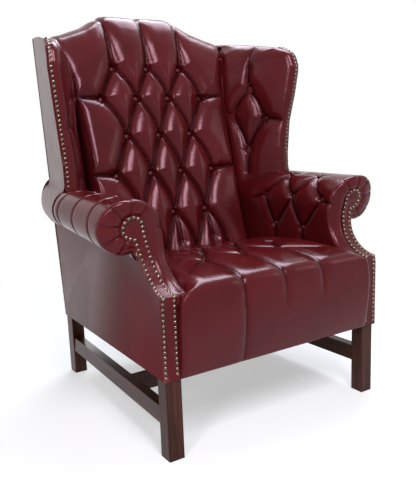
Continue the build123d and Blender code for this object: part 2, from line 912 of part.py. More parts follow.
arm_button_places = [(arm_spot(place, arm_low_row_x), arm_inward) for place in arm_low_row]
arm_button_places += [(arm_spot(place, arm_middle_row_x), arm_up_inward) for place in arm_middle_row]
arm_button_places += [(arm_spot(place, arm_top_row_x), Vector(0, 0, 1)) for place in arm_top_row]

with BuildPart() as arm_pad_blank:
    add(roll_loft(roll_sections, 0, arm_inner_x))
    with BuildSketch(profile):
        with BuildLine():
            arm_side(cover_thickness, 0, rail_top)
        make_face()
    extrude(amount=across, mode=Mode.INTERSECT)
    with BuildSketch(profile):
        rear_block(0, shoulder_height)
    extrude(amount=flank(rear_setback), mode=Mode.SUBTRACT)
    for neighbour in (arm_facing, arm_post, arm_rail, wing_post, back_post):
        add(neighbour.part, mode=Mode.SUBTRACT)

with BuildPart() as arm_pad:
    add(arm_pad_blank.part)
    for start, stop, outward in arm_folds:
        cut_fold(start, stop, outward, arm_fold_width, arm_fold_depth)
    for place, outward in arm_button_places:
        cut_button_seat(place, outward)
write_pair(arm_pad.part, "arm_pad")
arm_buttons = buttons_at(arm_button_places)
write_pair(arm_buttons, "arm_buttons")

# Wing pad: buttoned leather on the inside of the wing and over its front edge
wing_button_shares = ((0.62, 0.62), (0.4, 0.34), (0.42, 0.9), (0.16, 0.64))
wing_button_depth = 20
wing_fold_width = 92
wing_fold_pairs = ((0, 1), (0, 2), (1, 3), (2, 3))
wing_pleat_shares = ((0.95, 0.58), (0.42, 0), (0.46, 1.06), (0.02, 0.55))
wing_pleat_depths = (wing_button_depth, wing_button_depth / 2, wing_button_depth, wing_button_depth)


def levels_around(height):
    """The wing's levels below and above a height, and the height's share of the way between them."""
    below = [level for level in wing_levels if level.height <= height][-1]
    above = [level for level in wing_levels if level.height > height][0]
    return below, above, (height - below.height) / (above.height - below.height)


def wing_spot(height_share, run_share, depth):
    """A point below the wing's inner surface, and the direction out of that surface there."""
    height = arm_height + (shoulder_height - arm_height) * height_share
    below, above, share = levels_around(height)
    band = below.band + (above.band - below.band) * share
    joint = below.joint + (above.joint - below.joint) * share
    run = (joint - band).normalized()
    outward = Vector(-run.Y, run.X, 0)
    point = band + (joint - band) * run_share - outward * depth
    return spot(point.X, point.Y, height), outward


with BuildPart() as wing_body:
    add(wing_loft(lambda level: [level.edge, level.band, level.joint, level.deck_joint, level.deck]))
    with BuildSketch(profile):
        with BuildLine():
            wing_side(0)
        make_face()
    extrude(amount=across, mode=Mode.INTERSECT)

wing_places = [wing_spot(height, run, wing_button_depth) for height, run in wing_button_shares]
wing_fold_lines = [(wing_places[first], wing_places[second][0]) for first, second in wing_fold_pairs]
for place, shares, depth in zip(wing_places, wing_pleat_shares, wing_pleat_depths):
    wing_fold_lines.append((place, wing_spot(*shares, depth)[0]))
with BuildPart() as wing_hollow:
    add(
        wing_loft(
            lambda level: level.strip(wing_frame_lead, level.reach * 2, -overrun, wing_frame_thickness)
        )
    )
    add(wing_frame_space.part, mode=Mode.INTERSECT)

with BuildPart() as wing_pad:
    add(wing_body.part)
    add(wing_hollow.part, mode=Mode.SUBTRACT)
    add(arm_pad_blank.part, mode=Mode.SUBTRACT)
    for (start, outward), stop in wing_fold_lines:
        cut_fold(start, stop, outward, wing_fold_width, wing_button_depth)
    for place, outward in wing_places:
        cut_button_seat(place, outward)
    for neighbour in (arm_rail, back_post):
        add(neighbour.part, mode=Mode.SUBTRACT)
write_pair(wing_pad.part, "wing_pad")
wing_buttons = buttons_at(wing_places)
write_pair(wing_buttons, "wing_buttons")

# Seat pad: one stuffed bench with a deep front border, buttoned on top
seat_crown_setback = 150
seat_crown_radius = 1365
seat_back_setback = 471
seat_pad_back = 640
seat_front_top_setback = 14
seat_lip_setback = -20
seat_lip_height = 434
border_foot_setback = -10
border_bulge_height = 345
border_bottom = 212
border_half_width = 313.7
border_shoulder_half_width = 280
border_shoulder_height = 398
spring_space = 4
seat_deck = rail_top + spring_space + canvas_thickness
seat_half_width = arm_inner_x - soft_gap


def seat_top(setback):
    """Height of the seat's crowned surface at a setback."""
    rise = sqrt(seat_crown_radius**2 - (setback - seat_crown_setback) ** 2)
    return seat_height - seat_crown_radius + rise


with BuildPart() as seat_space:
    with BuildSketch(elevation.offset(-cover_thickness)):
        with BuildLine():
            for side in (1, -1):
                shoulder = (side * border_half_width, border_shoulder_height)
                top = (side * border_shoulder_half_width, seat_height)
                Line((side * border_half_width, border_bottom), shoulder)
                TangentArc(shoulder, top, tangent=(0, 1))
            Line((-border_shoulder_half_width, seat_height), (border_shoulder_half_width, seat_height))
            Line((-border_half_width, border_bottom), (border_half_width, border_bottom))
        make_face()
    extrude(amount=overrun)
    with BuildSketch(plan):
        with Locations((0, cover_thickness)):
            Rectangle(seat_half_width * 2, seat_pad_back, align=(Align.CENTER, Align.MIN))
    extrude(amount=seat_height)

with BuildPart() as seat_blank:
    with BuildSketch(profile):
        with BuildLine():
            ThreePointArc(
                (border_foot_setback, border_bottom),
                (-seat_overhang, border_bulge_height),
                (seat_lip_setback, seat_lip_height),
            )
            TangentArc(
                (seat_front_top_setback, seat_top(seat_front_top_setback)),
                (seat_lip_setback, seat_lip_height),
                tangent=(-1, 0),
            )
            ThreePointArc(
                (seat_front_top_setback, seat_top(seat_front_top_setback)),
                (seat_crown_setback, seat_height),
                (seat_back_setback, seat_top(seat_back_setback)),
            )
            Polyline(
                (seat_back_setback, seat_top(seat_back_setback)),
                (seat_pad_back, seat_top(seat_back_setback)),
                (seat_pad_back, seat_deck),
                (cover_thickness, seat_deck),
                (cover_thickness, border_bottom),
                (border_foot_setback, border_bottom),
            )
        make_face()
    extrude(amount=across, both=True)
    add(seat_space.part, mode=Mode.INTERSECT)

seat_rows = ((165, (-130, 0, 130)), (280, (-185, -60, 60, 185)), (400, (-127, 0, 127)))
seat_button_depth = 18
seat_fold_width = 96
seat_fold_reach = 90
front_pleat_width = 34
front_pleat_depth = 9
front_pleat_foot_heights = (border_bottom, 300, 320)


def seat_spot(x, setback):
    """A button's place below the seat's top."""
    return spot(x, setback, seat_top(setback) - seat_button_depth)


def grid_folds(rows, place_at, reach):
    """Pairs of neighbouring places in neighbouring rows of buttons."""
    pairs = []
    for (row, xs), (next_row, next_xs) in zip(rows, rows[1:]):
        for x in xs:
            for next_x in next_xs:
                if abs(x - next_x) < reach:
                    pairs.append((place_at(x, row), place_at(next_x, next_row)))
    return pairs


upward = Vector(0, 0, 1)
forward = Vector(0, -1, 0)
seat_places = [(seat_spot(x, setback), upward) for setback, xs in seat_rows for x in xs]
seat_fold_lines = grid_folds(seat_rows, seat_spot, seat_fold_reach)
for x in seat_rows[0][1]:
    front_end = spot(x, -seat_overhang, seat_lip_height - seat_button_depth / 2)
    seat_fold_lines.append((seat_spot(x, seat_rows[0][0]), front_end))
for x in seat_rows[-1][1]:
    seat_fold_lines.append((seat_spot(x, seat_rows[-1][0]), seat_spot(x, seat_pad_back)))
for side in (-1, 1):
    outer_place = seat_spot(side * seat_rows[1][1][-1], seat_rows[1][0])
    seat_fold_lines.append((outer_place, spot(side * seat_half_width, seat_rows[1][0], outer_place.Z)))

with BuildPart() as seat_pad:
    add(seat_blank.part)
    for start, stop in seat_fold_lines:
        cut_fold(start, stop, upward, seat_fold_width, seat_button_depth)
    for x, foot_height in zip(seat_rows[0][1], front_pleat_foot_heights):
        start = spot(x, front_pleat_depth - seat_overhang, seat_lip_height)
        stop = spot(x, front_pleat_depth - seat_overhang, foot_height)
        cut_fold(start, stop, forward, front_pleat_width, front_pleat_depth)
    for place, outward in seat_places:
        cut_button_seat(place, outward)
    for neighbour in (front_leg, arm_facing, arm_post):
        add(neighbour.part, mode=Mode.SUBTRACT)
        add(mirror(neighbour.part, about=Plane.YZ), mode=Mode.SUBTRACT)
write(seat_pad.part, "seat_pad")
write(buttons_at(seat_places), "seat_buttons")

# Back pad: deep buttoned diamonds that bulge forward and roll over the crest
back_rows = (
    (1003, (-125, 0, 125)),
    (905, (-185, -59, 59, 185)),
    (787, (-119, 0, 119)),
    (667, (-180, -57, 57, 180)),
    (537, (-120, 0, 120)),
)
back_button_drop = 45
back_fold_width = 100
back_fold_reach = 90
back_edge_width = 110
back_edge_depth = 52
back_edge_foot_setback = 556
back_edge_top_setback = 640
back_edge_top_height = 985
back_pad_bottom = seat_top(seat_back_setback) + soft_gap
crest_front_height = 1085
crest_swell_setback = 722
crest_swell_height = 1150
crest_top_setback = 772
crest_pleat_setback = 754
crest_pleat_height = 1158
back_fold_depth = back_button_drop * cos(radians(inside_back_lean_angle))
back_outward = Vector(0, -1, lean_slope).normalized()


def back_spot(x, height):
    """A button's place below the inside back's surface."""
    return spot(x, back_face(height) + back_button_drop, height)


with BuildPart() as crest_rail_space:
    with BuildSketch(elevation):
        with BuildLine():
            crest_outline(crest_padding, crest_rail_bottom)
        make_face()
    extrude(amount=-through)
    with BuildSketch(profile):
        rear_slab(crest_rail_front_step, -overrun, crest_rail_bottom, crest_height)
    extrude(amount=across, both=True, mode=Mode.INTERSECT)

with BuildPart() as back_blank:
    with BuildSketch(profile):
        with BuildLine():
            front = (back_face(crest_front_height), crest_front_height)
            crown = (crest_top_setback, crest_height)
            behind = (rear(crest_back_height) - cover_thickness, crest_back_height)
            Line((back_face(back_pad_bottom), back_pad_bottom), front)
            ThreePointArc(front, (crest_swell_setback, crest_swell_height), crown)
            TangentArc(crown, behind, tangent=(1, 0))
            Polyline(
                behind,
                (rear(back_pad_bottom) - cover_thickness, back_pad_bottom),
                (back_face(back_pad_bottom), back_pad_bottom),
            )
        make_face()
    extrude(amount=across, both=True)
    with BuildSketch(elevation):
        with BuildLine():
            crest_outline(0, back_pad_bottom)
        make_face()
    extrude(amount=-through, mode=Mode.INTERSECT)
    with BuildSketch(elevation):
        with BuildLine():
            edge = [(seat_half_width, back_pad_bottom), (seat_half_width, arm_rail_top)]
            edge += [(level.joint.X - soft_gap, level.height) for level in wing_levels[1:]]
            edge += [(wing_levels[-1].joint.X, crest_height)]
            Polyline(*edge, *[(-x, height) for x, height in reversed(edge)], close=True)
        make_face()
    extrude(amount=-through, mode=Mode.INTERSECT)
    with BuildSketch(profile):
        rear_block(0, crest_rail_bottom)
    extrude(amount=across, both=True, mode=Mode.SUBTRACT)
    add(crest_rail_space.part, mode=Mode.SUBTRACT)
    add(back_post.part, mode=Mode.SUBTRACT)
    add(mirror(back_post.part, about=Plane.YZ), mode=Mode.SUBTRACT)

back_places = [(back_spot(x, height), back_outward) for height, xs in back_rows for x in xs]
back_fold_lines = grid_folds(back_rows, back_spot, back_fold_reach)
for x in back_rows[0][1]:
    crest_pleat_end = spot(x, crest_pleat_setback, crest_pleat_height)
    back_fold_lines.append((back_spot(x, back_rows[0][0]), crest_pleat_end))
for x in back_rows[-1][1]:
    back_fold_lines.append((back_spot(x, back_rows[-1][0]), back_spot(x, back_pad_bottom)))
for height, xs in (back_rows[1], back_rows[3]):
    for side in (-1, 1):
        fold_end = back_spot(side * seat_half_width, height)
        back_fold_lines.append((back_spot(side * xs[-1], height), fold_end))

with BuildPart() as back_pad:
    add(back_blank.part)
    for start, stop in back_fold_lines:
        cut_fold(start, stop, back_outward, back_fold_width, back_fold_depth)
    for side in (-1, 1):
        start = spot(side * inside_half_width, back_edge_foot_setback, back_pad_bottom)
        stop = spot(side * inside_half_width, back_edge_top_setback, back_edge_top_height)
        cut_fold(start, stop, back_outward, back_edge_width, back_edge_depth)
    for place, outward in back_places:
        cut_button_seat(place, outward)
write(back_pad.part, "back_pad")
write(buttons_at(back_places), "back_buttons")

# Seat springs: flat zigzag wires from the front rail to the back rail, each end under a clip
spring_lines_x = (-208, -104, 0, 104, 208)
spring_half_width = 25
spring_wire = 3.8
spring_bend_radius = 9
spring_runs = 22
spring_start_setback = front_inner - rail_thickness / 2
spring_end_setback = back_rail_front + rail_thickness / 2
spring_pitch = (spring_end_setback - spring_start_setback) / spring_runs
with BuildPart() as seat_springs:
    for x in spring_lines_x:
        corners = []
        for run in range(spring_runs + 1):
            side = 1 if run % 2 else -1
            setback = spring_start_setback + spring_pitch * run
            corners.append(spot(x - side * spring_half_width, setback, rail_top + spring_space / 2))
            corners.append(spot(x + side * spring_half_width, setback, rail_top + spring_space / 2))
        with BuildLine() as spring_path:
            FilletPolyline(*corners, radius=spring_bend_radius)
        with BuildSketch(Plane(origin=corners[0], z_dir=(1, 0, 0))):
            Circle(spring_wire / 2)
        sweep(path=spring_path.line)
write(seat_springs.part, "seat_springs")

clip_length = 16
clip_width = 12
clip_slot_height = spring_space + soft_gap / 3
spring_ends = (spring_start_setback, spring_end_setback)
clip_spots = [spot(x, end, rail_top) for x in spring_lines_x for end in spring_ends]
clip_align = (Align.CENTER, Align.CENTER, Align.MIN)
with BuildPart() as spring_clips:
    with Locations(*clip_spots):
        Box(clip_length, clip_width, seat_deck - rail_top, align=clip_align)
        Box(clip_length, clip_slot_height, clip_slot_height, align=clip_align, mode=Mode.SUBTRACT)
write(spring_clips.part, "spring_clips")

# Cloths: canvas over the springs, a black dust cover under the rails, webbing and canvas on the back posts
canvas_start = spring_start_setback + clip_width / 2 + soft_gap
canvas_depth = seat_pad_back - canvas_start
with BuildPart() as seat_canvas:
    with BuildSketch(plan.offset(rail_top + spring_space)):
        with Locations((0, canvas_start)):
            Rectangle(seat_half_width * 2, canvas_depth, align=(Align.CENTER, Align.MIN))
    extrude(amount=canvas_thickness)
write(seat_canvas.part, "seat_canvas")

dust_cover_ends = (cover_thickness, rear_setback - cover_thickness)
with BuildPart() as dust_cover:
    with BuildSketch(plan.offset(rail_bottom)):
        side_edge = [(flank(setback), setback) for setback in dust_cover_ends]
        Polygon(*side_edge, *[(-x, setback) for x, setback in reversed(side_edge)], align=None)
    extrude(amount=-canvas_thickness)
    for neighbour in (front_leg, back_leg):
        add(neighbour.part, mode=Mode.SUBTRACT)
        add(mirror(neighbour.part, about=Plane.YZ), mode=Mode.SUBTRACT)
write(dust_cover.part, "dust_cover")

web_half_width = 312
web_height = 50
web_bottoms = (485, 590, 695, 800, 905, 985)


def post_sheet(low, high, near, far):
    """Draw a sheet laid on the fronts of the back posts as seen from the side."""
    Polygon(
        (post_front(low) - far, low),
        (post_front(low) - near, low),
        (post_front(high) - near, high),
        (post_front(high) - far, high),
        align=None,
    )


with BuildPart() as back_webbing:
    with BuildSketch(profile):
        for bottom in web_bottoms:
            post_sheet(bottom, bottom + web_height, 0, canvas_thickness)
    extrude(amount=web_half_width, both=True)
write(back_webbing.part, "back_webbing")

with BuildPart() as back_canvas:
    with BuildSketch(profile):
        post_sheet(tack_rail_bottom, crest_rail_bottom, canvas_thickness, deck_thickness)
    extrude(amount=web_half_width, both=True)
write(back_canvas.part, "back_canvas")

# Outside back: a flat panel that widens behind the rolled arms and follows the crest
outside_back_drop = crest_height - crest_back_height
bulge_low_height = 527
bulge_high_height = 652
bulge_half_width = roll_back_x + roll_back_half_width + cover_thickness
bulge_middle_height = arm_height - roll_back_half_height
with BuildPart() as outside_back:
    with BuildSketch(elevation):
        with BuildLine():
            crest_line(outside_back_drop)
            for side in (1, -1):
                corner = (side * rear_half_width, shoulder_height)
                high = (side * rear_half_width, bulge_high_height)
                low = (side * rear_half_width, bulge_low_height)
                Polyline((side * crest_shoulder_x, shoulder_height - outside_back_drop), corner, high)
                ThreePointArc(high, (side * bulge_half_width, bulge_middle_height), low)
                Line(low, (side * rear_half_width, cover_hem_height))
            Line((rear_half_width, cover_hem_height), (-rear_half_width, cover_hem_height))
        make_face()
    extrude(amount=-through)
    with BuildSketch(profile):
        rear_slab(cover_thickness, 0, cover_hem_height, crest_height)
    extrude(amount=across, both=True, mode=Mode.INTERSECT)
write(outside_back.part, "outside_back")

# Outside wing: leather from the wing's front edge down over the back of the rolled arm
panel_lead = 2
with BuildPart() as roll_core:
    add(roll_loft(roll_sections, 0, arm_inner_x))

with BuildPart() as outside_wing:
    add(roll_loft(roll_sections, cover_thickness, arm_inner_x))
    with BuildSketch(plan.offset(rail_top)):
        foot_level = wing_levels[0]
        foot_corners = foot_level.strip(panel_lead, foot_level.reach * 2, -across, 0)
        Polygon(*[(corner.X, corner.Y) for corner in foot_corners], align=None)
    extrude(amount=arm_height, mode=Mode.INTERSECT)
    add(wing_loft(lambda level: level.strip(panel_lead, level.reach * 2, -cover_thickness, 0)))
    with BuildSketch(profile):
        with BuildLine():
            wing_side(0)
        make_face()
    extrude(amount=across, mode=Mode.INTERSECT)
    with BuildSketch(profile):
        Polygon(
            (rear(0) - cover_thickness, 0),
            (through, 0),
            (through, crest_height),
            (rear(crest_height) - cover_thickness, crest_height),
            align=None,
        )
    extrude(amount=across, mode=Mode.SUBTRACT)
    add(roll_core.part, mode=Mode.SUBTRACT)
    for neighbour in (wing_body, wing_post, back_post, arm_rail):
        add(neighbour.part, mode=Mode.SUBTRACT)
write_pair(outside_wing.part, "outside_wing")

# Outside arm: a flat panel from the facing to the back corner
with BuildPart() as outside_arm:
    with BuildSketch(plan.offset(cover_hem_height)):
        Polygon(
            (flank(0), 0),
            (flank(0) + cover_thickness, 0),
            (rear_half_width, rear_setback),
            (rear_half_width, rear(arm_height)),
            (flank(rear_setback), rear(arm_height)),
            (flank(rear_setback), rear_setback),
            align=None,
        )
    extrude(amount=arm_rail_bottom - cover_hem_height)
    with BuildSketch(profile):
        with BuildLine():
            arm_side(0, facing_thickness, cover_hem_height)
        make_face()
    extrude(amount=across, mode=Mode.INTERSECT)
    for neighbour in (roll_core, outside_wing, arm_post, front_leg, back_leg, back_post, arm_facing):
        add(neighbour.part, mode=Mode.SUBTRACT)
write_pair(outside_arm.part, "outside_arm")

# Upholstery nails: domed heads in a row, each driven through the leather into the wood
nail_pitch = 13
nail_inset = 7
nail_head_radius = 5
nail_head_height = 3
nail_dome_radius = (nail_head_radius**2 + nail_head_height**2) / (2 * nail_head_height)
nail_shank_radius = 1
nail_shank_length = 10
nail_samples = 900
with BuildPart() as nail:
    with Locations((0, 0, nail_head_height - nail_dome_radius)):
        Sphere(nail_dome_radius)
    split(bisect_by=Plane.XY, keep=Keep.TOP)
    Cylinder(nail_shank_radius, nail_shank_length, align=(Align.CENTER, Align.CENTER, Align.MAX))


def nails_along(path):
    """Nails spaced evenly along a path of points, each with its direction outwards."""
    with BuildPart() as row:
        travelled = nail_pitch
        before = path[0][0]
        for point, outward in path:
            travelled += (point - before).length
            before = point
            if travelled >= nail_pitch:
                add(Plane(origin=point, z_dir=outward).location * nail.part)
                travelled -= nail_pitch
    return row.part


# Nails around the arm's facing, from the hem over the knob and back down to the hem
with BuildSketch(elevation) as nail_field:
    add(facing_shape.sketch)
    offset(amount=-nail_inset, mode=Mode.REPLACE)
nail_edge = nail_field.sketch.face().outer_wire()
around = [nail_edge.position_at(step / nail_samples) for step in range(nail_samples)]
hem_middle = Vector((facing_inner_x + facing_outer_x) / 2, front_y, cover_hem_height)
first = min(range(nail_samples), key=lambda step: (around[step] - hem_middle).length)
arm_nail_path = []
for point in around[first:] + around[:first]:
    if point.Z > cover_hem_height + nail_inset + nail_head_height:
        slope = (scroll_setback(point.Z + 1) - scroll_setback(point.Z - 1)) / 2
        arm_nail_path.append((spot(point.X, scroll_setback(point.Z), point.Z), Vector(0, -1, slope)))
arm_nails = nails_along(arm_nail_path)
write_pair(arm_nails, "arm_nails")

# Nails up the wing's front edge, beside the outside leather, and round its top corner
wing_nail_foot = 652
with BuildLine(profile) as wing_corner_line:
    wing_corner()
wing_corner_edge = wing_corner_line.edge()
wing_nail_path = []
for step in range(nail_samples):
    height = wing_nail_foot + (wing_corner_height - wing_nail_foot) * step / nail_samples
    below, above, share = levels_around(height)
    low = below.edge + below.inward * nail_inset
    high = above.edge + above.inward * nail_inset
    point = low + (high - low) * share
    wing_nail_path.append((spot(point.X, point.Y, height), -below.along))
for step in range(nail_samples):
    point = wing_corner_edge.position_at(step / nail_samples)
    tangent = wing_corner_edge.tangent_at(step / nail_samples)
    top = wing_levels[-1]
    run = (point.Y - front_y - top.edge.Y) / top.along.Y
    place = top.edge + top.along * run + top.inward * nail_inset
    wing_nail_path.append((Vector(place.X, point.Y, point.Z), Vector(0, -tangent.Z, tangent.Y)))
wing_nails = nails_along(wing_nail_path)
write_pair(wing_nails, "wing_nails")
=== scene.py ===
import math

import bmesh
import bpy
import numpy as np
from mathutils import Matrix, Vector


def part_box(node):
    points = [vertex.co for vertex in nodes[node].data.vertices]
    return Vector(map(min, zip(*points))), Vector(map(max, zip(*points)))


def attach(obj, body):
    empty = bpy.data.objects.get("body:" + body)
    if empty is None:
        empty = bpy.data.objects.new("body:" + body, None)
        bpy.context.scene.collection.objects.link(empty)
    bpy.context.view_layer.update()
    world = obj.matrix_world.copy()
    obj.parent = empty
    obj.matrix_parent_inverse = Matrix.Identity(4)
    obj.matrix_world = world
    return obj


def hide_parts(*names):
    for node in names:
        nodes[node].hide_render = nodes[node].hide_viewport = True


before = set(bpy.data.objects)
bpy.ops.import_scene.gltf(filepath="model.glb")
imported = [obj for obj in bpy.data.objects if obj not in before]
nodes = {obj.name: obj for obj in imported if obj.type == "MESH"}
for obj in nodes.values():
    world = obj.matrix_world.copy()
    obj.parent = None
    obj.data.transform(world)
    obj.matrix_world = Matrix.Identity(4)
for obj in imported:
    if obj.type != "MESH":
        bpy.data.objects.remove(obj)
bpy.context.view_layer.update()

# Legs and stretchers: four straight mahogany legs joined by an H of rails, stained dark and polished.
# The rails are tenoned into the legs, and the grain runs along each board.


def mottle(tree, coords, scale, detail=4.0, rough=0.5):
    """Cloudy patches, so many to the metre of coords."""
    node = tree.nodes.new("ShaderNodeTexNoise")
    node.inputs["Scale"].default_value = scale
    node.inputs["Detail"].default_value = detail
    node.inputs["Roughness"].default_value = rough
    tree.links.new(coords, node.inputs["Vector"])
    return node.outputs["Fac"]


def stretched(tree, scale):
    """The object's own coordinates, stretched along its axes."""
    coords = tree.nodes.new("ShaderNodeTexCoord")
    mapping = tree.nodes.new("ShaderNodeMapping")
    mapping.inputs["Scale"].default_value = scale
    tree.links.new(coords.outputs["Object"], mapping.inputs["Vector"])
    return mapping.outputs["Vector"]


def stain(tree, factor, stops):
    """A run of colours, given as (place, colour) stops."""
    node = tree.nodes.new("ShaderNodeValToRGB")
    marks = node.color_ramp.elements
    for mark, (place, colour) in zip(marks, stops, strict=True):
        mark.position = place
        mark.color = (*colour, 1)
    tree.links.new(factor, node.inputs["Fac"])
    return node.outputs["Color"]


def relief(tree, height, strength, depth, under=None):
    """Fine relief of a depth in metres, over another one."""
    node = tree.nodes.new("ShaderNodeBump")
    node.inputs["Strength"].default_value = strength
    node.inputs["Distance"].default_value = depth
    tree.links.new(height, node.inputs["Height"])
    if under:
        tree.links.new(under, node.inputs["Normal"])
    return node.outputs["Normal"]


def plain_material(name):
    """A new material, its node tree and its shader."""
    material = bpy.data.materials.new(name)
    material.use_nodes = True
    tree = material.node_tree
    return material, tree, tree.nodes["Principled BSDF"]


def wood(name, grain_axis, dark, light, roughness, gloss):
    """Wood with its grain along one axis."""
    streaks_across = 95.0
    streaks_along = 5.0
    material, tree, shader = plain_material(name)
    scale = [streaks_across] * 3
    scale[grain_axis] = streaks_along
    grain = mottle(tree, stretched(tree, scale), 1.0, detail=6.0, rough=0.6)
    tree.links.new(stain(tree, grain, ((0.32, dark), (0.68, light))), shader.inputs["Base Color"])
    shader.inputs["Roughness"].default_value = roughness
    shader.inputs["Specular IOR Level"].default_value = gloss
    tree.links.new(relief(tree, grain, strength=0.25, depth=0.0006), shader.inputs["Normal"])
    return material


def finish_nodes(material, *names):
    """Give CAD nodes their finish."""
    for name in names:
        nodes[name].data.materials.clear()
        nodes[name].data.materials.append(material)


def both(name):
    """The left and the right node of a kind."""
    return name + "_left", name + "_right"


mahogany = {"dark": (0.014, 0.0038, 0.002), "light": (0.06, 0.016, 0.008), "roughness": 0.28, "gloss": 0.16}
for grain_axis, names in (
    (2, both("front_leg") + both("back_leg")),
    (1, both("side_stretcher")),
    (0, ("cross_stretcher",)),
):
    finish_nodes(wood(f"mahogany_{grain_axis}", grain_axis, **mahogany), *names)

# Inner frame: sawn beech posts, rails and corner blocks, tenoned, glued and screwed together.
# The leather hides all of it once the chair is covered.
beech = {"dark": (0.36, 0.24, 0.13), "light": (0.52, 0.38, 0.23), "roughness": 0.6, "gloss": 0.4}
for grain_axis, names in (
    (2, both("back_post") + both("arm_post") + both("wing_post")),
    (1, both("side_seat_rail") + both("arm_rail") + both("wing_rail")),
    (0, ("front_seat_rail", "back_seat_rail", "corner_blocks", "back_tack_rail", "crest_rail")),
):
    finish_nodes(wood(f"beech_{grain_axis}", grain_axis, **beech), *names)

# Springs: six zigzag springs of bright steel wire, hooked into clips on the front and back seat rails.
# The screws of the corner blocks are of the same steel.


def metal(name, colour, roughness, tarnish):
    """Metal with a little uneven tarnish, that takes its colour down to a share."""
    material, tree, shader = plain_material(name)
    spots = mottle(tree, stretched(tree, (1, 1, 1)), 320.0, detail=3.0)
    dark = tuple(part * tarnish for part in colour)
    tree.links.new(stain(tree, spots, ((0.35, dark), (0.65, colour))), shader.inputs["Base Color"])
    shader.inputs["Metallic"].default_value = 1.0
    shader.inputs["Roughness"].default_value = roughness
    return material


spring_steel = metal("spring_steel", (0.45, 0.45, 0.47), roughness=0.35, tarnish=0.7)
finish_nodes(spring_steel, "seat_springs", "spring_clips", "corner_screws")

# Webbing and cloths: jute webs and canvas across the back, canvas over the springs, black cloth below.
# All are stretched and tacked to the beech. The cloths are joined-up copies of their nodes.


def woven(name, colour, threads):
    """Plain woven cloth: crossing threads, counted per metre."""
    gap_share = 0.6
    material, tree, shader = plain_material(name)
    weave = mottle(tree, stretched(tree, (threads,) * 3), 1.0, detail=2.0)
    dark = tuple(part * gap_share for part in colour)
    tree.links.new(stain(tree, weave, ((0.3, dark), (0.7, colour))), shader.inputs["Base Color"])
    shader.inputs["Roughness"].default_value = 0.9
    tree.links.new(relief(tree, weave, strength=0.5, depth=0.0005), shader.inputs["Normal"])
    return material


def welded_copy(node, name):
    """A copy of a CAD node with its faces joined at their edges."""
    seam_gap = 0.00002
    mesh = nodes[node].data.copy()
    mesh.name = name
    mesh.materials.clear()
    joined = bmesh.new()
    joined.from_mesh(mesh)
    bmesh.ops.remove_doubles(joined, verts=joined.verts, dist=seam_gap)
    joined.to_mesh(mesh)
    joined.free()
    piece = bpy.data.objects.new(name, mesh)
    bpy.context.scene.collection.objects.link(piece)
    return piece


finish_nodes(woven("webbing", (0.42, 0.31, 0.18), 400), "back_webbing")
canvas = woven("canvas", (0.5, 0.4, 0.26), 700)
dust_cloth = woven("dust_cloth", (0.02, 0.02, 0.02), 900)
rails = ["front_seat_rail", "back_seat_rail", *both("side_seat_rail")]
for node, cloth, slot, held_by in (
    ("seat_canvas", canvas, "canvas", ["seat_springs"]),
    ("back_canvas", canvas, "canvas", ["back_webbing"]),
    ("dust_cover", dust_cloth, "dust_cloth", rails),
):
    sheet = welded_copy(node, node + "_cloth")
    sheet.data.materials.append(cloth)
    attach(sheet, "root")
    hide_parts(node)

# Upholstery nails: domed brass heads with an antique bronze finish, one row on each facing and wing.
# They are driven side by side along the edges of the strips that they hold.
antique_brass = metal("antique_nail", (0.2, 0.15, 0.115), roughness=0.22, tarnish=0.3)
finish_nodes(antique_brass, *both("arm_nails"), *both("wing_nails"))

# Seat: one stuffed bench of glossy oxblood leather, buttoned in diamonds, with a deep front border.
# Three pleats run from the front row of buttons over the lip. It is tacked under the rails.
# Lengths from here on are in millimetres, and a setback counts from the front faces of the front legs.
mm = 0.001
front_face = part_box("front_leg_right")[0].y * 1000
# Setback, height and half width, from under the back pad over the lip and down the border.
seat_profile = (
    (600, 415, 275.5), (520, 415.5, 275.5), (471, 417, 275.5), (400, 431.8, 275.5), (300, 446.8, 275.5),
    (200, 454, 275.5), (100, 454, 276), (40, 450, 277), (6, 445, 280), (-12, 437, 286), (-23, 423, 300),
    (-27.5, 398, 309), (-28.5, 350, 313), (-25, 295, 313), (-18, 245, 313.3), (-10.5, 212, 313.3),
)
# Setback of each row and its places across the seat. The back pad hides the last row, which has no buttons.
seat_rows = (
    (165, (-130, 0, 130)), (280, (-185, -60, 60, 185)), (400, (-127, 0, 127)), (515, (-190, -62, 62, 190)),
)
seat_buttoned_rows = 3
seat_button_depth = 20
seat_button_proud = 2
# Each pleat's place across, the height at which it dies out on the border, and its depth there.
seat_pleats = ((-130, 214, 5), (0, 330, 0), (130, 318, 0))
pleat_depth_at_lip = 9
lip_height = 424
pleat_reach, border_pleat_reach = 44, 26
# The side folds run in under the arms, and the corner folds die out near the front corners.
under_arm_x, under_arm_ahead, under_arm_depth = 280, 5, 12
corner_fold_x, corner_fold_setback, corner_fold_depth = 250, 45, 3
seat_fold_reach = 46
neighbour_reach = 95
seat_top_foot = 425
seat_stuffing = 62
seat_underside = 213.5
seat_cover_length = 900
seat_cover_width = 600
seat_mesh_pitch = 4


def smooth_line(points, count):
    """An even line of points on a smooth curve through a few, and its length."""
    fine_steps = 24
    rough = np.array(points, float)
    ends = np.vstack([2 * rough[0] - rough[1], rough, 2 * rough[-1] - rough[-2]])
    share = np.linspace(0, 1, fine_steps, endpoint=False)[:, None]
    runs = []
    for before, start, stop, after in zip(ends, ends[1:], ends[2:], ends[3:]):
        linear = (stop - before) * share
        square = (2 * before - 5 * start + 4 * stop - after) * share**2
        cubic = (3 * start - before - 3 * stop + after) * share**3
        runs.append((2 * start + linear + square + cubic) / 2)
    dense = np.vstack([*runs, rough[-1:]])
    travelled = np.concatenate([[0], np.cumsum(np.linalg.norm(np.diff(dense, axis=0), axis=1))])
    even = np.linspace(0, travelled[-1], count)
    return np.stack([np.interp(even, travelled, column) for column in dense.T], axis=1), travelled[-1]


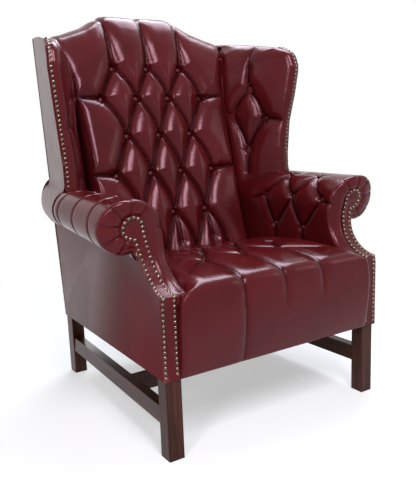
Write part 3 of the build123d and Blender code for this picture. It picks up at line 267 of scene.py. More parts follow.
def to_model(x, setback, height):
    """Points of the model in metres from half width, setback and height in millimetres."""
    return np.stack(np.broadcast_arrays(x, np.asarray(setback) + front_face, height), axis=-1) * mm


def eased_edge(share):
    """Fall of a rounded edge: none where it starts and 1 at its foot, where it is steepest."""
    return 1 - np.sqrt(1 - share**2)


def draw_in(across, along, folds, places, seed):
    """How far sewn folds and buttons draw the leather in at each point, and how much painted shade it gets
    there.

    A fold is (start, stop, reach, bow, sag): two (across, along, depth), how far it draws the leather on
    either side, how far it bends aside, and the share of its depth that it loses half way.
    """
    shade_width = 5
    full_shade_depth = 14
    button_radius = 10
    funnel_radius = 34
    funnel_steepness = 1.6
    pucker_radius = 17
    pucker_width = 8
    pucker_share = 0.035
    fewest_puckers, most_puckers = 9, 12
    button_shade_radius = 13
    drawn = np.zeros(across.shape)
    crease_shade = np.zeros(across.shape)
    noise = np.random.default_rng(seed)
    for (a0, b0, depth0), (a1, b1, depth1), reach, bow, sag in folds:
        run = np.array([a1 - a0, b1 - b0], float)
        length = np.hypot(*run)
        ahead = ((across - a0) * run[0] + (along - b0) * run[1]) / length
        share = np.clip(ahead / length, 0, 1)
        hump = 4 * share * (1 - share)
        aside = ((across - a0) * run[1] - (along - b0) * run[0]) / length - bow * hump
        past = np.maximum(np.maximum(-ahead, ahead - length), 0)
        distance = np.hypot(aside, past)
        depth = (depth0 + (depth1 - depth0) * share) * (1 - sag * hump)
        near = 1 - np.clip(distance / reach, 0, 1)
        drawn = np.maximum(drawn, depth * eased_edge(near))
        # Painted shade along each fold, darker the deeper the fold is.
        fold_shade = np.exp(-((distance / shade_width) ** 2)) * np.clip(depth / full_shade_depth, 0, 1)
        crease_shade = np.maximum(crease_shade, fold_shade)
    for a0, b0, depth in places:
        radius = np.hypot(across - a0, along - b0)
        funnel = depth * np.clip(1 - radius / funnel_radius, 0, 1) ** funnel_steepness
        floor = depth * (radius < button_radius)
        drawn = np.maximum(drawn, np.maximum(funnel, floor))
        turn = np.arctan2(along - b0, across - a0)
        puckers = noise.integers(fewest_puckers, most_puckers + 1)
        ripples = np.sin(turn * puckers + noise.uniform(0, 6))
        pucker = ripples * np.exp(-(((radius - pucker_radius) / pucker_width) ** 2))
        drawn += pucker * depth * pucker_share
        # Painted shade round each button.
        crease_shade = np.maximum(crease_shade, np.exp(-((radius / button_shade_radius) ** 2)))
    return drawn, crease_shade


def normals_of(grid, towards):
    """Unit normals of a grid of points, on the side of a direction."""
    normal = np.cross(np.gradient(grid, axis=1), np.gradient(grid, axis=0))
    normal /= np.maximum(np.linalg.norm(normal, axis=-1, keepdims=True), 1e-12)
    middle = normal[grid.shape[0] // 2, grid.shape[1] // 2]
    return normal if middle @ np.array(towards, float) > 0 else -normal


def drawn_surface(base, normal, drawn):
    """A grid in metres, drawn in along its normals by so many millimetres."""
    return base - normal * drawn[..., None] * mm


def grid_faces(rows, columns, first, flipped):
    """Four-sided faces of a grid of points."""
    corner = first + np.arange((rows - 1) * columns).reshape(rows - 1, columns)[:, :-1].ravel()
    quads = np.stack([corner, corner + 1, corner + columns + 1, corner + columns], axis=1)
    return quads[:, ::-1] if flipped else quads


def closed_pad(name, outer, inner, crease_shade):
    """A closed solid between an outer and an inner grid of points, with the painted shade of its creases
    noted for the colour.
    """
    rows, columns = outer.shape[:2]
    count = rows * columns
    numbers = np.arange(count).reshape(rows, columns)
    rim = np.concatenate([numbers[0], numbers[1:, -1], numbers[-1, -2::-1], numbers[-2:0:-1, 0]])
    after = np.roll(rim, -1)
    walls = np.stack([rim, rim + count, after + count, after], axis=1)
    faces = np.vstack([grid_faces(rows, columns, 0, False), grid_faces(rows, columns, count, True), walls])
    mesh = bpy.data.meshes.new(name)
    mesh.from_pydata(np.vstack([outer.reshape(-1, 3), inner.reshape(-1, 3)]).tolist(), [], faces.tolist())
    mesh.validate()
    # The crease attribute carries painted shade for the leather's colour.
    crease_shade_amount = mesh.attributes.new("crease_shade", "FLOAT", "POINT")
    crease_shade_amount.data.foreach_set("value", np.concatenate([crease_shade.ravel(), np.zeros(count)]).astype(np.float32))
    mesh.polygons.foreach_set("use_smooth", [True] * len(mesh.polygons))
    piece = bpy.data.objects.new(name, mesh)
    bpy.context.scene.collection.objects.link(piece)
    bpy.context.view_layer.objects.active = piece
    piece.select_set(True)
    bpy.ops.object.mode_set(mode="EDIT")
    bpy.ops.mesh.select_all(action="SELECT")
    bpy.ops.mesh.normals_make_consistent(inside=False)
    bpy.ops.object.mode_set(mode="OBJECT")
    piece.select_set(False)
    return piece


def leather(name, polish, crinkled):
    """Glazed oxblood leather: fine grain, cloudy dye, painted shade in the creases, where the colour darkens
    and the wax tint dims, and a wax shine.
    """
    oxblood = (0.053, 0.0032, 0.004)
    wax_tint = (1.0, 0.58, 0.67)
    crease_shade_wax_tint = (0.08, 0.04, 0.05)
    shinier, duller = 0.05, 0.07
    painted_crease_shade, pale, rich = (tuple(part * share for part in oxblood) for share in (0.2, 0.86, 1.2))
    material, tree, shader = plain_material(name)
    coords = stretched(tree, (1, 1, 1))
    dye = stain(tree, mottle(tree, coords, 9.0, detail=5.0), ((0.3, pale), (0.72, rich)))
    # The crease attribute paints shade: the colour darkens and the reflection tint dims along folds and round
    # buttons.
    crease_shade_amount = tree.nodes.new("ShaderNodeAttribute")
    crease_shade_amount.attribute_name = "crease_shade"
    mixes = []
    for socket, in_painted_shade in (("Base Color", painted_crease_shade), ("Specular Tint", crease_shade_wax_tint)):
        mix = tree.nodes.new("ShaderNodeMix")
        mix.data_type = "RGBA"
        tree.links.new(crease_shade_amount.outputs["Fac"], mix.inputs["Factor"])
        mix.inputs["B"].default_value = (*in_painted_shade, 1)
        tree.links.new(mix.outputs["Result"], shader.inputs[socket])
        mixes.append(mix)
    tree.links.new(dye, mixes[0].inputs["A"])
    mixes[1].inputs["A"].default_value = (*wax_tint, 1)
    worn = tree.nodes.new("ShaderNodeMapRange")
    worn.inputs["To Min"].default_value = polish - shinier
    worn.inputs["To Max"].default_value = polish + duller
    tree.links.new(mottle(tree, coords, 26.0), worn.inputs["Value"])
    tree.links.new(worn.outputs["Result"], shader.inputs["Roughness"])
    shader.inputs["Specular IOR Level"].default_value = 0.28
    crinkle = mottle(tree, coords, 70.0, detail=6.0, rough=0.62)
    grain = tree.nodes.new("ShaderNodeTexVoronoi")
    grain.inputs["Scale"].default_value = 620.0
    tree.links.new(coords, grain.inputs["Vector"])
    waves = relief(tree, crinkle, strength=crinkled, depth=0.0022)
    skin = relief(tree, grain.outputs["Distance"], strength=0.14, depth=0.0004, under=waves)
    tree.links.new(skin, shader.inputs["Normal"])
    return material


pad_leather = leather("oxblood_leather", polish=0.18, crinkled=0.24)


def cover_piece(piece, material, slot, *replaced):
    """Finish a piece, hang it on the frame and let it stand for its CAD nodes."""
    piece.data.materials.append(material)
    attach(piece, "root")
    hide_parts(*replaced)
    return piece


def diamond_folds(rows, place_at, depth, reach, bows, sag):
    """Folds between neighbouring places in neighbouring rows, bowed to the left and to the right."""
    folds = []
    for (row, xs), (next_row, next_xs) in zip(rows, rows[1:]):
        for x in xs:
            for next_x in next_xs:
                if abs(x - next_x) < neighbour_reach:
                    start = (*place_at(x, row), depth)
                    stop = (*place_at(next_x, next_row), depth)
                    bow = bows[0] if x > next_x else -bows[1]
                    folds.append((start, stop, reach, bow, sag))
    return folds


seat_line, seat_length = smooth_line(seat_profile, round(seat_cover_length / seat_mesh_pitch))
seat_run = np.linspace(0, seat_length, len(seat_line))
seat_setback, seat_height, seat_half = seat_line[:, 0:1], seat_line[:, 1:2], seat_line[:, 2:3]
top_rows = seat_line[:, 1] > seat_top_foot
border_rows = ~top_rows & (seat_line[:, 0] < 0)


def seat_place(x, setback):
    """Where a place on top of the seat lies on its cover, across and along."""
    return x, np.interp(-setback, -seat_line[top_rows, 0], seat_run[top_rows])


def border_place(x, height):
    """Where a place on the front border lies on the cover, across and along."""
    return x, np.interp(-height, -seat_line[border_rows, 1], seat_run[border_rows])


seat_x = seat_half * np.linspace(-1, 1, round(seat_cover_width / seat_mesh_pitch))
seat_along = np.broadcast_to(seat_run[:, None], seat_x.shape)
seat_base = to_model(seat_x, seat_setback, seat_height)
seat_folds = diamond_folds(seat_rows, seat_place, seat_button_depth, reach=50, bows=(5, 5), sag=0.35)
(front_row, front_xs), (second_row, second_xs) = seat_rows[:2]
lip = border_place(0, lip_height)[1]
# Pleats over the lip and down the border.
for x, foot_height, foot_depth in seat_pleats:
    over_lip = (x, lip, pleat_depth_at_lip)
    seat_folds.append(((*seat_place(x, front_row), seat_button_depth), over_lip, pleat_reach, 0, 0.1))
    seat_folds.append((over_lip, (*border_place(x, foot_height), foot_depth), border_pleat_reach, 3, 0))
# Folds from the outer buttons under the arms and to the front corners.
for side in (-1, 1):
    start = (*seat_place(side * second_xs[-1], second_row), seat_button_depth)
    under_arm = (*seat_place(side * under_arm_x, second_row - under_arm_ahead), under_arm_depth)
    seat_folds.append((start, under_arm, seat_fold_reach, 0, 0.1))
    start = (*seat_place(side * front_xs[-1], front_row), seat_button_depth)
    seat_corner = (*seat_place(side * corner_fold_x, corner_fold_setback), corner_fold_depth)
    seat_folds.append((start, seat_corner, seat_fold_reach, side * 6, 0.1))
seat_places = [
    (*seat_place(x, row), seat_button_depth) for row, xs in seat_rows[:seat_buttoned_rows] for x in xs
]
drawn, seat_crease_shade = draw_in(seat_x, seat_along, seat_folds, seat_places, seed=3)
# The top rounds over widely at its sides and goes under the arms. The border's upright edges are crisper.
border_top, lip_rise, border_setback, between_arms = 418, 26, -24, 300
border_edge_reach, top_edge_reach = 12, 48
border_edge_fall, top_edge_fall = 4, 33
over_lip_share = np.clip((seat_height - border_top) / lip_rise, 0, 1) * (seat_setback > border_setback)
top_share = np.clip(over_lip_share + (seat_setback > between_arms), 0, 1)
side_reach = border_edge_reach + (top_edge_reach - border_edge_reach) * top_share
side_fall = border_edge_fall + (top_edge_fall - border_edge_fall) * top_share
near_side = np.clip((np.abs(seat_x) - (seat_half - side_reach)) / side_reach, 0, 1)
drawn = np.maximum(drawn, side_fall * eased_edge(near_side))
seat_normal = normals_of(seat_base, (0, 0, 1))
seat_outer = drawn_surface(seat_base, seat_normal, drawn)
seat_inner = seat_base - seat_normal * (seat_stuffing * mm)
seat_inner[..., 2] = np.maximum(seat_inner[..., 2], seat_underside * mm)
seat = closed_pad("seat_cushion", seat_outer, seat_inner, seat_crease_shade)
cover_piece(seat, pad_leather, "padded_leather", "seat_pad")


def button_at(outer, base_normal, across, along, place):
    """The point of a grid nearest to a place on its cover, and the direction out of it."""
    row, column = np.unravel_index(np.argmin(np.hypot(across - place[0], along - place[1])), across.shape)
    return outer[row, column], base_normal[row, column]


def leather_buttons(name, spots, proud, *replaced):
    """Leather covered buttons: low domes with a turned-under rim, standing proud of the tuft's floor."""
    # Radius and height, from the crown over the rim to the foot.
    outline = ((0, 6.2), (3.2, 5.9), (6.2, 4.9), (8.4, 3.2), (9.5, 1.0), (9.2, -1.2), (7.6, -2.6), (0, -2.8))
    around = 20
    rings = len(outline) - 2
    points, faces = [], []
    for spot, outward in spots:
        first = len(points)
        turn = Vector(outward).to_track_quat("Z", "Y").to_matrix()
        for radius, height in outline[1:-1]:
            for step in range(around):
                angle = 2 * math.pi * step / around
                ring = Vector((radius * math.cos(angle), radius * math.sin(angle), height + proud)) * mm
                points.append(tuple(Vector(spot) + turn @ ring))
        points.append(tuple(Vector(spot) + turn @ Vector((0, 0, (outline[0][1] + proud) * mm))))
        points.append(tuple(Vector(spot) + turn @ Vector((0, 0, outline[-1][1] * mm))))
        for ring in range(rings - 1):
            for step in range(around):
                near = first + ring * around + step
                far = first + ring * around + (step + 1) % around
                faces.append((near, near + around, far + around, far))
        low = first + (rings - 1) * around
        for step in range(around):
            far = (step + 1) % around
            faces.append((len(points) - 2, first + step, first + far))
            faces.append((len(points) - 1, low + far, low + step))
    mesh = bpy.data.meshes.new(name)
    mesh.from_pydata(points, [], faces)
    mesh.polygons.foreach_set("use_smooth", [True] * len(mesh.polygons))
    piece = bpy.data.objects.new(name, mesh)
    bpy.context.scene.collection.objects.link(piece)
    return cover_piece(piece, pad_leather, "leather", *replaced)


spots = [button_at(seat_outer, seat_normal, seat_x, seat_along, place) for place in seat_places]
leather_buttons("seat_button_caps", spots, seat_button_proud, "seat_buttons")

# Back: a deep buttoned pad of the same leather, pulled in diamonds over springs and horsehair.
# Its pleats run up over the shaped crest and are tacked behind it, and its sides roll back to the wings.
back_lean = 0.3038
back_face_setback = 485
back_face_height = 455
rear_foot = 697
rear_foot_height = 209
rake = 0.112171
rail_gap = 3.5
# Distance from the middle, and height of the crest there.
crest_shape = ((0, 1170), (103, 1170), (127, 1167), (159, 1148), (193, 1128), (266, 1103), (322, 1090))
crest_span = 320
# How far below the crest the face ends, the nose turns and the rear is tacked, and the roll's depth.
shoulder_drop, crest_nose, crest_tack_drop, crest_roll = 85, 20, 13, 68
# Height and half width.
back_width = (
    (415, 275.5), (700, 276.5), (892, 275), (961, 280), (1000, 290), (1050, 308), (1090, 320), (1180, 320),
)
# Height, and how far back the sides roll there.
back_side_depth = ((415, 58), (573, 56), (704, 45), (808, 30), (901, 16), (985, 8), (1180, 8))
# Height of each row of buttons and its places across. The seat hides the last row, which has no buttons.
back_rows = (
    (1003, (-125, 0, 125)), (905, (-185, -59, 59, 185)), (787, (-119, 0, 119)), (667, (-180, -57, 57, 180)),
    (537, (-120, 0, 120)), (415, (-180, -57, 57, 180)),
)
back_buttoned_rows = 5
back_button_depth = 43
back_button_proud = 8
back_pad_foot = 415
# The pleats fan out a little from the buttons over the crest and down behind the seat.
over_crest_share, crest_pleat_share, foot_pleat_share = 1.08, 1.1, 1.05
over_crest_depth, behind_crest_run, behind_crest_depth = 13, 110, 6
foot_pleat_height, foot_pleat_depth = 440, 30
back_fold_reach, behind_crest_reach = 56, 34
side_fold_start, side_fold_stop, side_fold_rise, side_fold_depth = 185, 262, 2, 18
# The sides tuck in deeper at their edges, and get painted shade over the last share of their rounding.
back_side_round, back_side_tuck = 40, 10
side_shade_start, side_shade_least_depth = 0.75, 12
# The stuffing goes a share of the way to a core in front of the rear, which drops behind the crest.
back_stuffing_share = 0.3
back_core_gap, back_core_drop = 30, 50
back_mesh_columns, back_mesh_rows = 144, 216


def curve_at(table, value):
    """Read a curve of points, rounded at its corners, at some values."""
    places, heights = np.array(table, float).T
    rounding = np.linspace(-9, 9, 7)
    return sum(np.interp(np.asarray(value) + step, places, heights) for step in rounding) / len(rounding)


def back_face(height):
    """Setback of the back pad's face at some heights."""
    return back_face_setback + (np.asarray(height) - back_face_height) * back_lean


def rear(height):
    """Setback of the raked rear of the chair at some heights."""
    return rear_foot + (np.asarray(height) - rear_foot_height) * rake


def back_place(x, height):
    """Where a place on the back's face lies on its cover, across and along."""
    return x, (height - back_pad_foot) * math.hypot(1, back_lean)


across_share = np.linspace(-1, 1, back_mesh_columns)
column_lines = []
for share in across_share:
    crest = float(curve_at(crest_shape, abs(share) * crest_span))
    steps = [(back_face(height), height) for height in np.linspace(back_pad_foot, crest - shoulder_drop, 12)]
    steps.append((back_face(crest - crest_nose) + crest_nose, crest - crest_nose))
    steps.append((back_face(crest) + crest_roll, crest))
    steps.append((rear(crest - crest_tack_drop) - rail_gap, crest - crest_tack_drop))
    column_lines.append(smooth_line(steps, back_mesh_rows))
back_line = np.stack([points for points, _ in column_lines], axis=1)
back_setback, back_height = back_line[..., 0], back_line[..., 1]
back_along = np.stack([np.linspace(0, length, back_mesh_rows) for _, length in column_lines], axis=1)
back_half = np.interp(back_height, *np.array(back_width, float).T)
back_x = across_share * back_half
back_base = to_model(back_x, back_setback, back_height)

back_folds = diamond_folds(back_rows, back_place, back_button_depth, reach=58, bows=(3, 13), sag=0.3)
top_height, top_xs = back_rows[0]
# Pleats up over the crest.
for x in top_xs:
    crest = float(curve_at(crest_shape, abs(x) * crest_pleat_share))
    crest_along = back_place(0, crest)[1]
    over_crest = (x * over_crest_share, crest_along - crest_nose, over_crest_depth)
    behind_crest = (x * crest_pleat_share, crest_along + behind_crest_run, behind_crest_depth)
    back_folds.append(((*back_place(x, top_height), back_button_depth), over_crest, back_fold_reach, 0, 0.15))
    back_folds.append((over_crest, behind_crest, behind_crest_reach, 0, 0))
low_height, low_xs = back_rows[back_buttoned_rows - 1]
# Folds down behind the seat.
for x in low_xs:
    start = (*back_place(x, low_height), back_button_depth)
    behind_seat = (*back_place(x * foot_pleat_share, foot_pleat_height), foot_pleat_depth)
    back_folds.append((start, behind_seat, back_fold_reach, 0, 0.1))
# Level folds out to the wings, from the rows of four.
for height in (back_rows[1][0], back_rows[3][0]):
    for side in (-1, 1):
        start = (*back_place(side * side_fold_start, height), back_button_depth)
        stop = (*back_place(side * side_fold_stop, height + side_fold_rise), side_fold_depth)
        back_folds.append((start, stop, back_fold_reach, 0, 0.25))
back_places = [
    (*back_place(x, row), back_button_depth) for row, xs in back_rows[:back_buttoned_rows] for x in xs
]
drawn, back_crease_shade = draw_in(back_x, back_along, back_folds, back_places, seed=5)
side_depth = np.interp(back_height, *np.array(back_side_depth, float).T)
near_side = np.clip((np.abs(back_x) - (back_half - back_side_round)) / back_side_round, 0, 1)
drawn = np.maximum(drawn, side_depth * eased_edge(near_side) + back_side_tuck * near_side**3)
# Where the sides meet the wings they get painted shade, as in a crease.
side_shade = np.clip((near_side - side_shade_start) / (1 - side_shade_start), 0, 1)
back_crease_shade = np.maximum(back_crease_shade, side_shade * (side_depth > side_shade_least_depth))
back_normal = normals_of(back_base, (0, -1, 0.3))
back_outer = drawn_surface(back_base, back_normal, drawn)
behind_face = back_setback - back_face(back_height) > 4
back_core = back_base.copy()
back_core[..., 1] = (rear(back_height) + front_face - back_core_gap) * mm
back_core[..., 2] -= behind_face * (back_core_drop * mm)
back_inner = back_outer + (back_core - back_outer) * back_stuffing_share
back = closed_pad("back_cushion", back_outer, back_inner, back_crease_shade)
cover_piece(back, pad_leather, "padded_leather", "back_pad")
spots = [button_at(back_outer, back_normal, back_x, back_along, place) for place in back_places]
leather_buttons("back_button_caps", spots, back_button_proud, "back_buttons")

# Arms: stuffed leather rising from the seat, rolled out over the rail and pleated to a scroll in front.
# Folds sewn between staggered rows of buttons run on as pleats round the roll.
arm_top = 642
arm_inner_x = 276
arm_stuffing = 545
arm_foot = 395
arm_rear = 760
# Heights in metres that part the rows of buttons, top from middle and middle from low.
top_row_foot, middle_row_foot = 0.61, 0.52
# Setback, and the roll's middle, half width and half height there.
roll_shape = (
    (-60, 388, 70, 69), (90, 388, 70, 69), (400, 392, 60, 53), (746, 330, 38, 50), (800, 325, 38, 50),
)
facing_setback = -4
knee_height, neck_height = 418, 535
sweep_radius, scroll_radius = 118, 218
neck_setback = facing_setback - math.sqrt(sweep_radius**2 - (neck_height - knee_height) ** 2) + sweep_radius
knob_x, knob_z, knob_radius = 369, 572, 33
scroll_height = 600
scroll_round = 17
scroll_swell = 4.5
facing_gap = 4.4
# Height and distance from the middle of the facing's inner edge.
facing_inner_edge = ((397, 314), (476, 318), (535, 327))
facing_lap = 4
# The stuffing's core: setback and distance from the middle, and its height where the cover is above it.
arm_core_shape = ((90, knob_x), (400, knob_x), (arm_rear, 322))
arm_core_foot, arm_core_height, arm_core_ahead = 540, 560, 30
# Half width of the outside cover's plane in front, and how much narrower it is at the rear foot.
outside_x, outside_taper = 353, 16.5
arm_fold_reach, arm_fold_bow = 46, 5
over_roll_run, over_roll_spread, over_roll_depth, over_roll_reach = 18, 30, 7, 40
arm_foot_run, arm_foot_depth = 20, 12
end_fold_rise, end_fold_run, end_fold_depth, end_fold_reach = 15, 60, 4, 44
# The roll's outer pleats slant forward, and their depth grows from the top to the underside.
arm_pleat_setbacks = (175, 280, 388)
arm_pleat_start, arm_pleat_slant, arm_pleat_depths, arm_pleat_reach, arm_pleat_bow = 10, 12, (6, 7), 9, 4
# The scroll's pleats lie between these shares of the run round the roll. Each one starts just over the edge.
scroll_pleats = 6
scroll_pleat_shares = (0.44, 0.9)
scroll_pleat_over, scroll_pleat_depth = 4, 5
# How far its two ends lie aside and past the edge, with their depth, reach and bow: face and roll.
scroll_pleat_ends = ((6, -46, 5.5, 13, 3), (-3, 26, 1.5, 11, 0))
arm_stuffing_share = 0.35
arm_button_proud = 3
arm_mesh_columns, arm_mesh_rows = 160, 172
# The section that the cover is laid out by, and the column at the top of the roll.
middle_section, roll_top_column = 90, 74


def scroll_front(height):
    """Setback of the facing's front at some heights."""
    height = np.asarray(height, float)
    sweep, lean = (
        neck_setback - radius + np.sqrt(np.maximum(radius**2 - (neck_height - height) ** 2, 0))
        for radius in (sweep_radius, scroll_radius)
    )
    return np.where(height < knee_height, facing_setback, np.where(height < neck_height, sweep, lean))


def read_table(table, place):
    """Every other column of a table, at a place along its first column."""
    first, *others = np.array(table, float).T
    return [np.interp(place, first, column) for column in others]


def arm_section(setback):
    """The arm's outline seen from the front at one setback, from the seat over the roll to the rail."""
    centre, wide, tall = read_table(roll_shape, setback)
    reach = centre - arm_inner_x
    rise = arm_top - arm_stuffing
    radius = (reach**2 + rise**2) / (2 * reach)
    last = math.atan2(rise, reach - radius)
    outline = [(arm_inner_x, height) for height in np.linspace(arm_foot, arm_stuffing - 8, 36)]
    turn = np.linspace(math.pi - 0.02, last, 38)
    outline += list(zip(arm_inner_x + radius + radius * np.cos(turn), arm_stuffing + radius * np.sin(turn)))
    turn = np.linspace(math.pi / 2 - 0.05, -math.pi / 2, 58)
    outline += list(zip(centre + wide * np.cos(turn), arm_top - tall + tall * np.sin(turn)))
    # Under the roll the leather tucks in behind the outside cover, and in front behind the facing.
    behind_facing_x, post_setback, post_ease = 364, 160, 20
    fore = min(1.0, max(0.0, (post_setback - setback) / post_ease))
    low = arm_top - tall * 2
    tucked = min(outside_x - outside_taper * setback / rear_foot + 1, centre - 8)
    tucked += (behind_facing_x - tucked) * fore
    outline += [(centre * (1 - share) + tucked * share, low + 1.5 * share) for share in (0.3, 0.6, 0.9)]
    outline += [(tucked - 3, low - 4 - 2 * fore), (tucked - 4 - 6 * fore, low - 14 - 2 * fore)]
    return smooth_line(outline, arm_mesh_columns)[0]


section_setbacks = np.linspace(arm_rear, 20, 120)
sections = np.array([arm_section(setback) for setback in section_setbacks])


def section_points(column, setback):
    """Distances from the middle and heights down one column of the sections, at some setbacks."""
    return [np.interp(-setback, -section_setbacks, sections[:, column, axis]) for axis in (0, 1)]


def arm_column(column):
    """Points down one column of the arm's cover, from the rear into the scroll, and of its core."""
    end = 20.0
    for _ in range(6):
        end_height = section_points(column, np.array([end]))[1]
        end = float(scroll_front(end_height)[0]) + facing_gap + scroll_round
    start = 740.0
    for _ in range(4):
        start = float(rear(section_points(column, np.array([start]))[1][0])) - 4
    run = np.linspace(start, end, arm_mesh_rows)
    x_run, z_run = section_points(column, run)
    x_end, z_end = x_run[-1], z_run[-1]
    # Beside the post the leather runs in to the facing's edge, and round the scroll to the knob.
    neck_start, neck_length = 500, 60
    neck = float(np.clip((z_end - neck_start) / neck_length, 0, 1)) if x_end < knob_x else 1.0
    neck = neck * neck * (3 - 2 * neck)
    low_x = float(*read_table(facing_inner_edge, z_end)) + facing_lap
    away = math.hypot(x_end - knob_x, z_end - knob_z)
    knob_reach = knob_radius - 5
    rim_x = knob_x + (x_end - knob_x) / away * knob_reach
    rim_z = knob_z + (z_end - knob_z) / away * knob_reach
    target_x = low_x * (1 - neck) + rim_x * neck
    target_z = z_end * (1 - neck) + rim_z * neck
    span = math.hypot(target_x - x_end, target_z - z_end)
    turn = np.linspace(0, math.pi / 2, 8)[1:]
    face = np.linspace(scroll_round, span, 20)[1:]
    inward = np.concatenate([scroll_round * (1 - np.cos(turn)), face])
    swell = scroll_swell * np.sin(np.linspace(0, math.pi, len(face) + 1)[1:])
    puff = np.concatenate([np.zeros(len(turn)), swell])
    ahead = np.concatenate([scroll_round * (1 - np.sin(turn)), np.zeros(len(face))])
    x_face = x_end + (target_x - x_end) * inward / span
    z_face = z_end + (target_z - z_end) * inward / span
    s_face = scroll_front(z_face) + facing_gap + ahead - puff
    x_line, s_line, z_line = np.r_[x_run, x_face], np.r_[run, s_face], np.r_[z_run, z_face]
    core_x = np.r_[read_table(arm_core_shape, run)[0], np.full(len(inward), knob_x)]
    core_s = np.r_[run, np.full(len(inward), end + arm_core_ahead)]
    core_z = np.where(z_line < arm_core_foot, z_line, arm_core_height)
    return np.stack([x_line, s_line, z_line], axis=1), np.stack([core_x, core_s, core_z], axis=1)


def grid_in_model(grid):
    """Points of the model in metres from a grid of (half width, setback, height) in millimetres."""
    return to_model(*np.moveaxis(grid, -1, 0))


arm_columns = [arm_column(column) for column in range(arm_mesh_columns)]
arm_grid = np.stack([points for points, _ in arm_columns], axis=1)
arm_core = grid_in_model(np.stack([core for _, core in arm_columns], axis=1))
arm_base = grid_in_model(arm_grid)
# The cover is laid out flat: across it the run round the roll, along it the setback, which goes on past
# the last row of the roll as the run into the scroll.
round_steps = np.hypot(*np.diff(sections[middle_section], axis=0).T)
round_run = np.concatenate([[0], np.cumsum(round_steps)])
arm_across = np.broadcast_to(round_run, arm_base.shape[:2])
steps = np.linalg.norm(np.diff(arm_grid, axis=0), axis=-1)
from_rear = np.vstack([np.zeros((1, arm_mesh_columns)), np.cumsum(steps, axis=0)])
last_row = arm_mesh_rows - 1
arm_along = arm_grid[..., 1][last_row] + (from_rear[last_row] - from_rear)


def sewn_spots(node):
    """Where a CAD node's buttons stand: the middle of each one, from the points within its reach."""
    least_apart, button_reach = 0.026, 0.024
    mesh = nodes[node].data
    points = np.empty(len(mesh.vertices) * 3)
    mesh.vertices.foreach_get("co", points)
    points = points.reshape(-1, 3)
    places = []
    for point in points:
        if not any(np.linalg.norm(point - place) < least_apart for place in places):
            near = points[np.linalg.norm(points - point, axis=1) < button_reach]
            places.append(near.mean(axis=0))
    return places


def sunk_places(node, base, normal, across, along):
    """Cover places and depths at which a CAD node's buttons hold a pad down, and their heights in metres."""
    least_depth = 9.0
    under_button = 4
    places = []
    for spot in sewn_spots(node):
        row, column = np.unravel_index(np.argmin(np.linalg.norm(base - spot, axis=-1)), across.shape)
        depth = float((base[row, column] - spot) @ normal[row, column]) * 1000 + under_button
        places.append((across[row, column], along[row, column], max(depth, least_depth), spot[2]))
    return places


arm_normal = normals_of(arm_base, (0, 0, 1))
places = sunk_places("arm_buttons_right", arm_base, arm_normal, arm_across, arm_along)
places_along = sorted(places, key=lambda place: place[1])
top_row = [place[:3] for place in places_along if place[3] > top_row_foot]
middle_row = [place[:3] for place in places_along if middle_row_foot < place[3] < top_row_foot]
low_row = [place[:3] for place in places_along if place[3] < middle_row_foot]
arm_folds = []
for first_row, next_row in ((top_row, middle_row), (middle_row, low_row)):
    for first in first_row:
        for second in next_row:
            if abs(first[1] - second[1]) < neighbour_reach:
                bow = arm_fold_bow if first[1] > second[1] else -arm_fold_bow
                arm_folds.append((first, second, arm_fold_reach, bow, 0.3))
roll_start = float(round_run[roll_top_column])
roll_end = float(round_run[-1])
# Over the roll from the top buttons, in pairs.
for first in top_row[:2]:
    for away in (-over_roll_spread, over_roll_spread):
        over_roll = (roll_start + over_roll_run, first[1] + away, over_roll_depth)
        arm_folds.append((first, over_roll, over_roll_reach, 0, 0.1))
# Pleats round the outside of the roll.
for setback in arm_pleat_setbacks:
    start = (roll_start + arm_pleat_start, setback, arm_pleat_depths[0])
    stop = (roll_end, setback - arm_pleat_slant, arm_pleat_depths[1])
    arm_folds.append((start, stop, arm_pleat_reach, arm_pleat_bow, 0))
# Down to the seat from the low buttons.
for first in low_row:
    arm_folds.append((first, (arm_foot_run, first[1], arm_foot_depth), arm_fold_reach, 0, 0.1))
# Forward and back from the end buttons of the middle row.
for first, away in ((middle_row[0], -end_fold_run), (middle_row[-1], end_fold_run)):
    stop = (first[0] - end_fold_rise, first[1] + away, end_fold_depth)
    arm_folds.append((first, stop, end_fold_reach, 0, 0.1))
# Short pleats round the scroll, on its face and over its edge.
scroll_edge = scroll_front(scroll_height)
for round_share in np.linspace(*scroll_pleat_shares, scroll_pleats):
    across = roll_end * round_share
    start = (across, scroll_edge - scroll_pleat_over, scroll_pleat_depth)
    for aside, away, depth, reach, bow in scroll_pleat_ends:
        arm_folds.append((start, (across + aside, scroll_edge + away, depth), reach, bow, 0))
drawn, arm_crease_shade = draw_in(arm_across, arm_along, arm_folds, [place[:3] for place in places], seed=7)
# At its rear end the roll draws in under the wing's cover.
rear_end_setback, rear_end_length, rear_end_draw = 700, 60, 10
drawn += rear_end_draw * np.clip((arm_along - rear_end_setback) / rear_end_length, 0, 1) ** 2
arm_outer = drawn_surface(arm_base, arm_normal, drawn)
arm_inner = arm_outer + (arm_core - arm_outer) * arm_stuffing_share
mirror_x = np.array([-1, 1, 1])


def buttoned_pair(kind, outer, inner, crease_shade, spots, proud):
    """The right pad of a kind with its buttons, and the left one as its mirror image."""
    for side, flip in (("right", 1), ("left", mirror_x)):
        pad = closed_pad(f"{kind}_cushion_{side}", outer * flip, inner * flip, crease_shade)
        cover_piece(pad, pad_leather, "padded_leather", f"{kind}_pad_{side}")
        turned = [(spot * flip, outward * flip) for spot, outward in spots]
        leather_buttons(f"{kind}_button_caps_{side}", turned, proud, f"{kind}_buttons_{side}")


spots = [button_at(arm_outer, arm_normal, arm_across, arm_along, place) for place in places]
buttoned_pair("arm", arm_outer, arm_inner, arm_crease_shade, spots, arm_button_proud)

# Wings: padded leather over each ear of the frame, buttoned inside and rolled round its front edge.
# A narrow border faces forward and carries the nails, and folds run out from four buttons.
wing_foot = 573
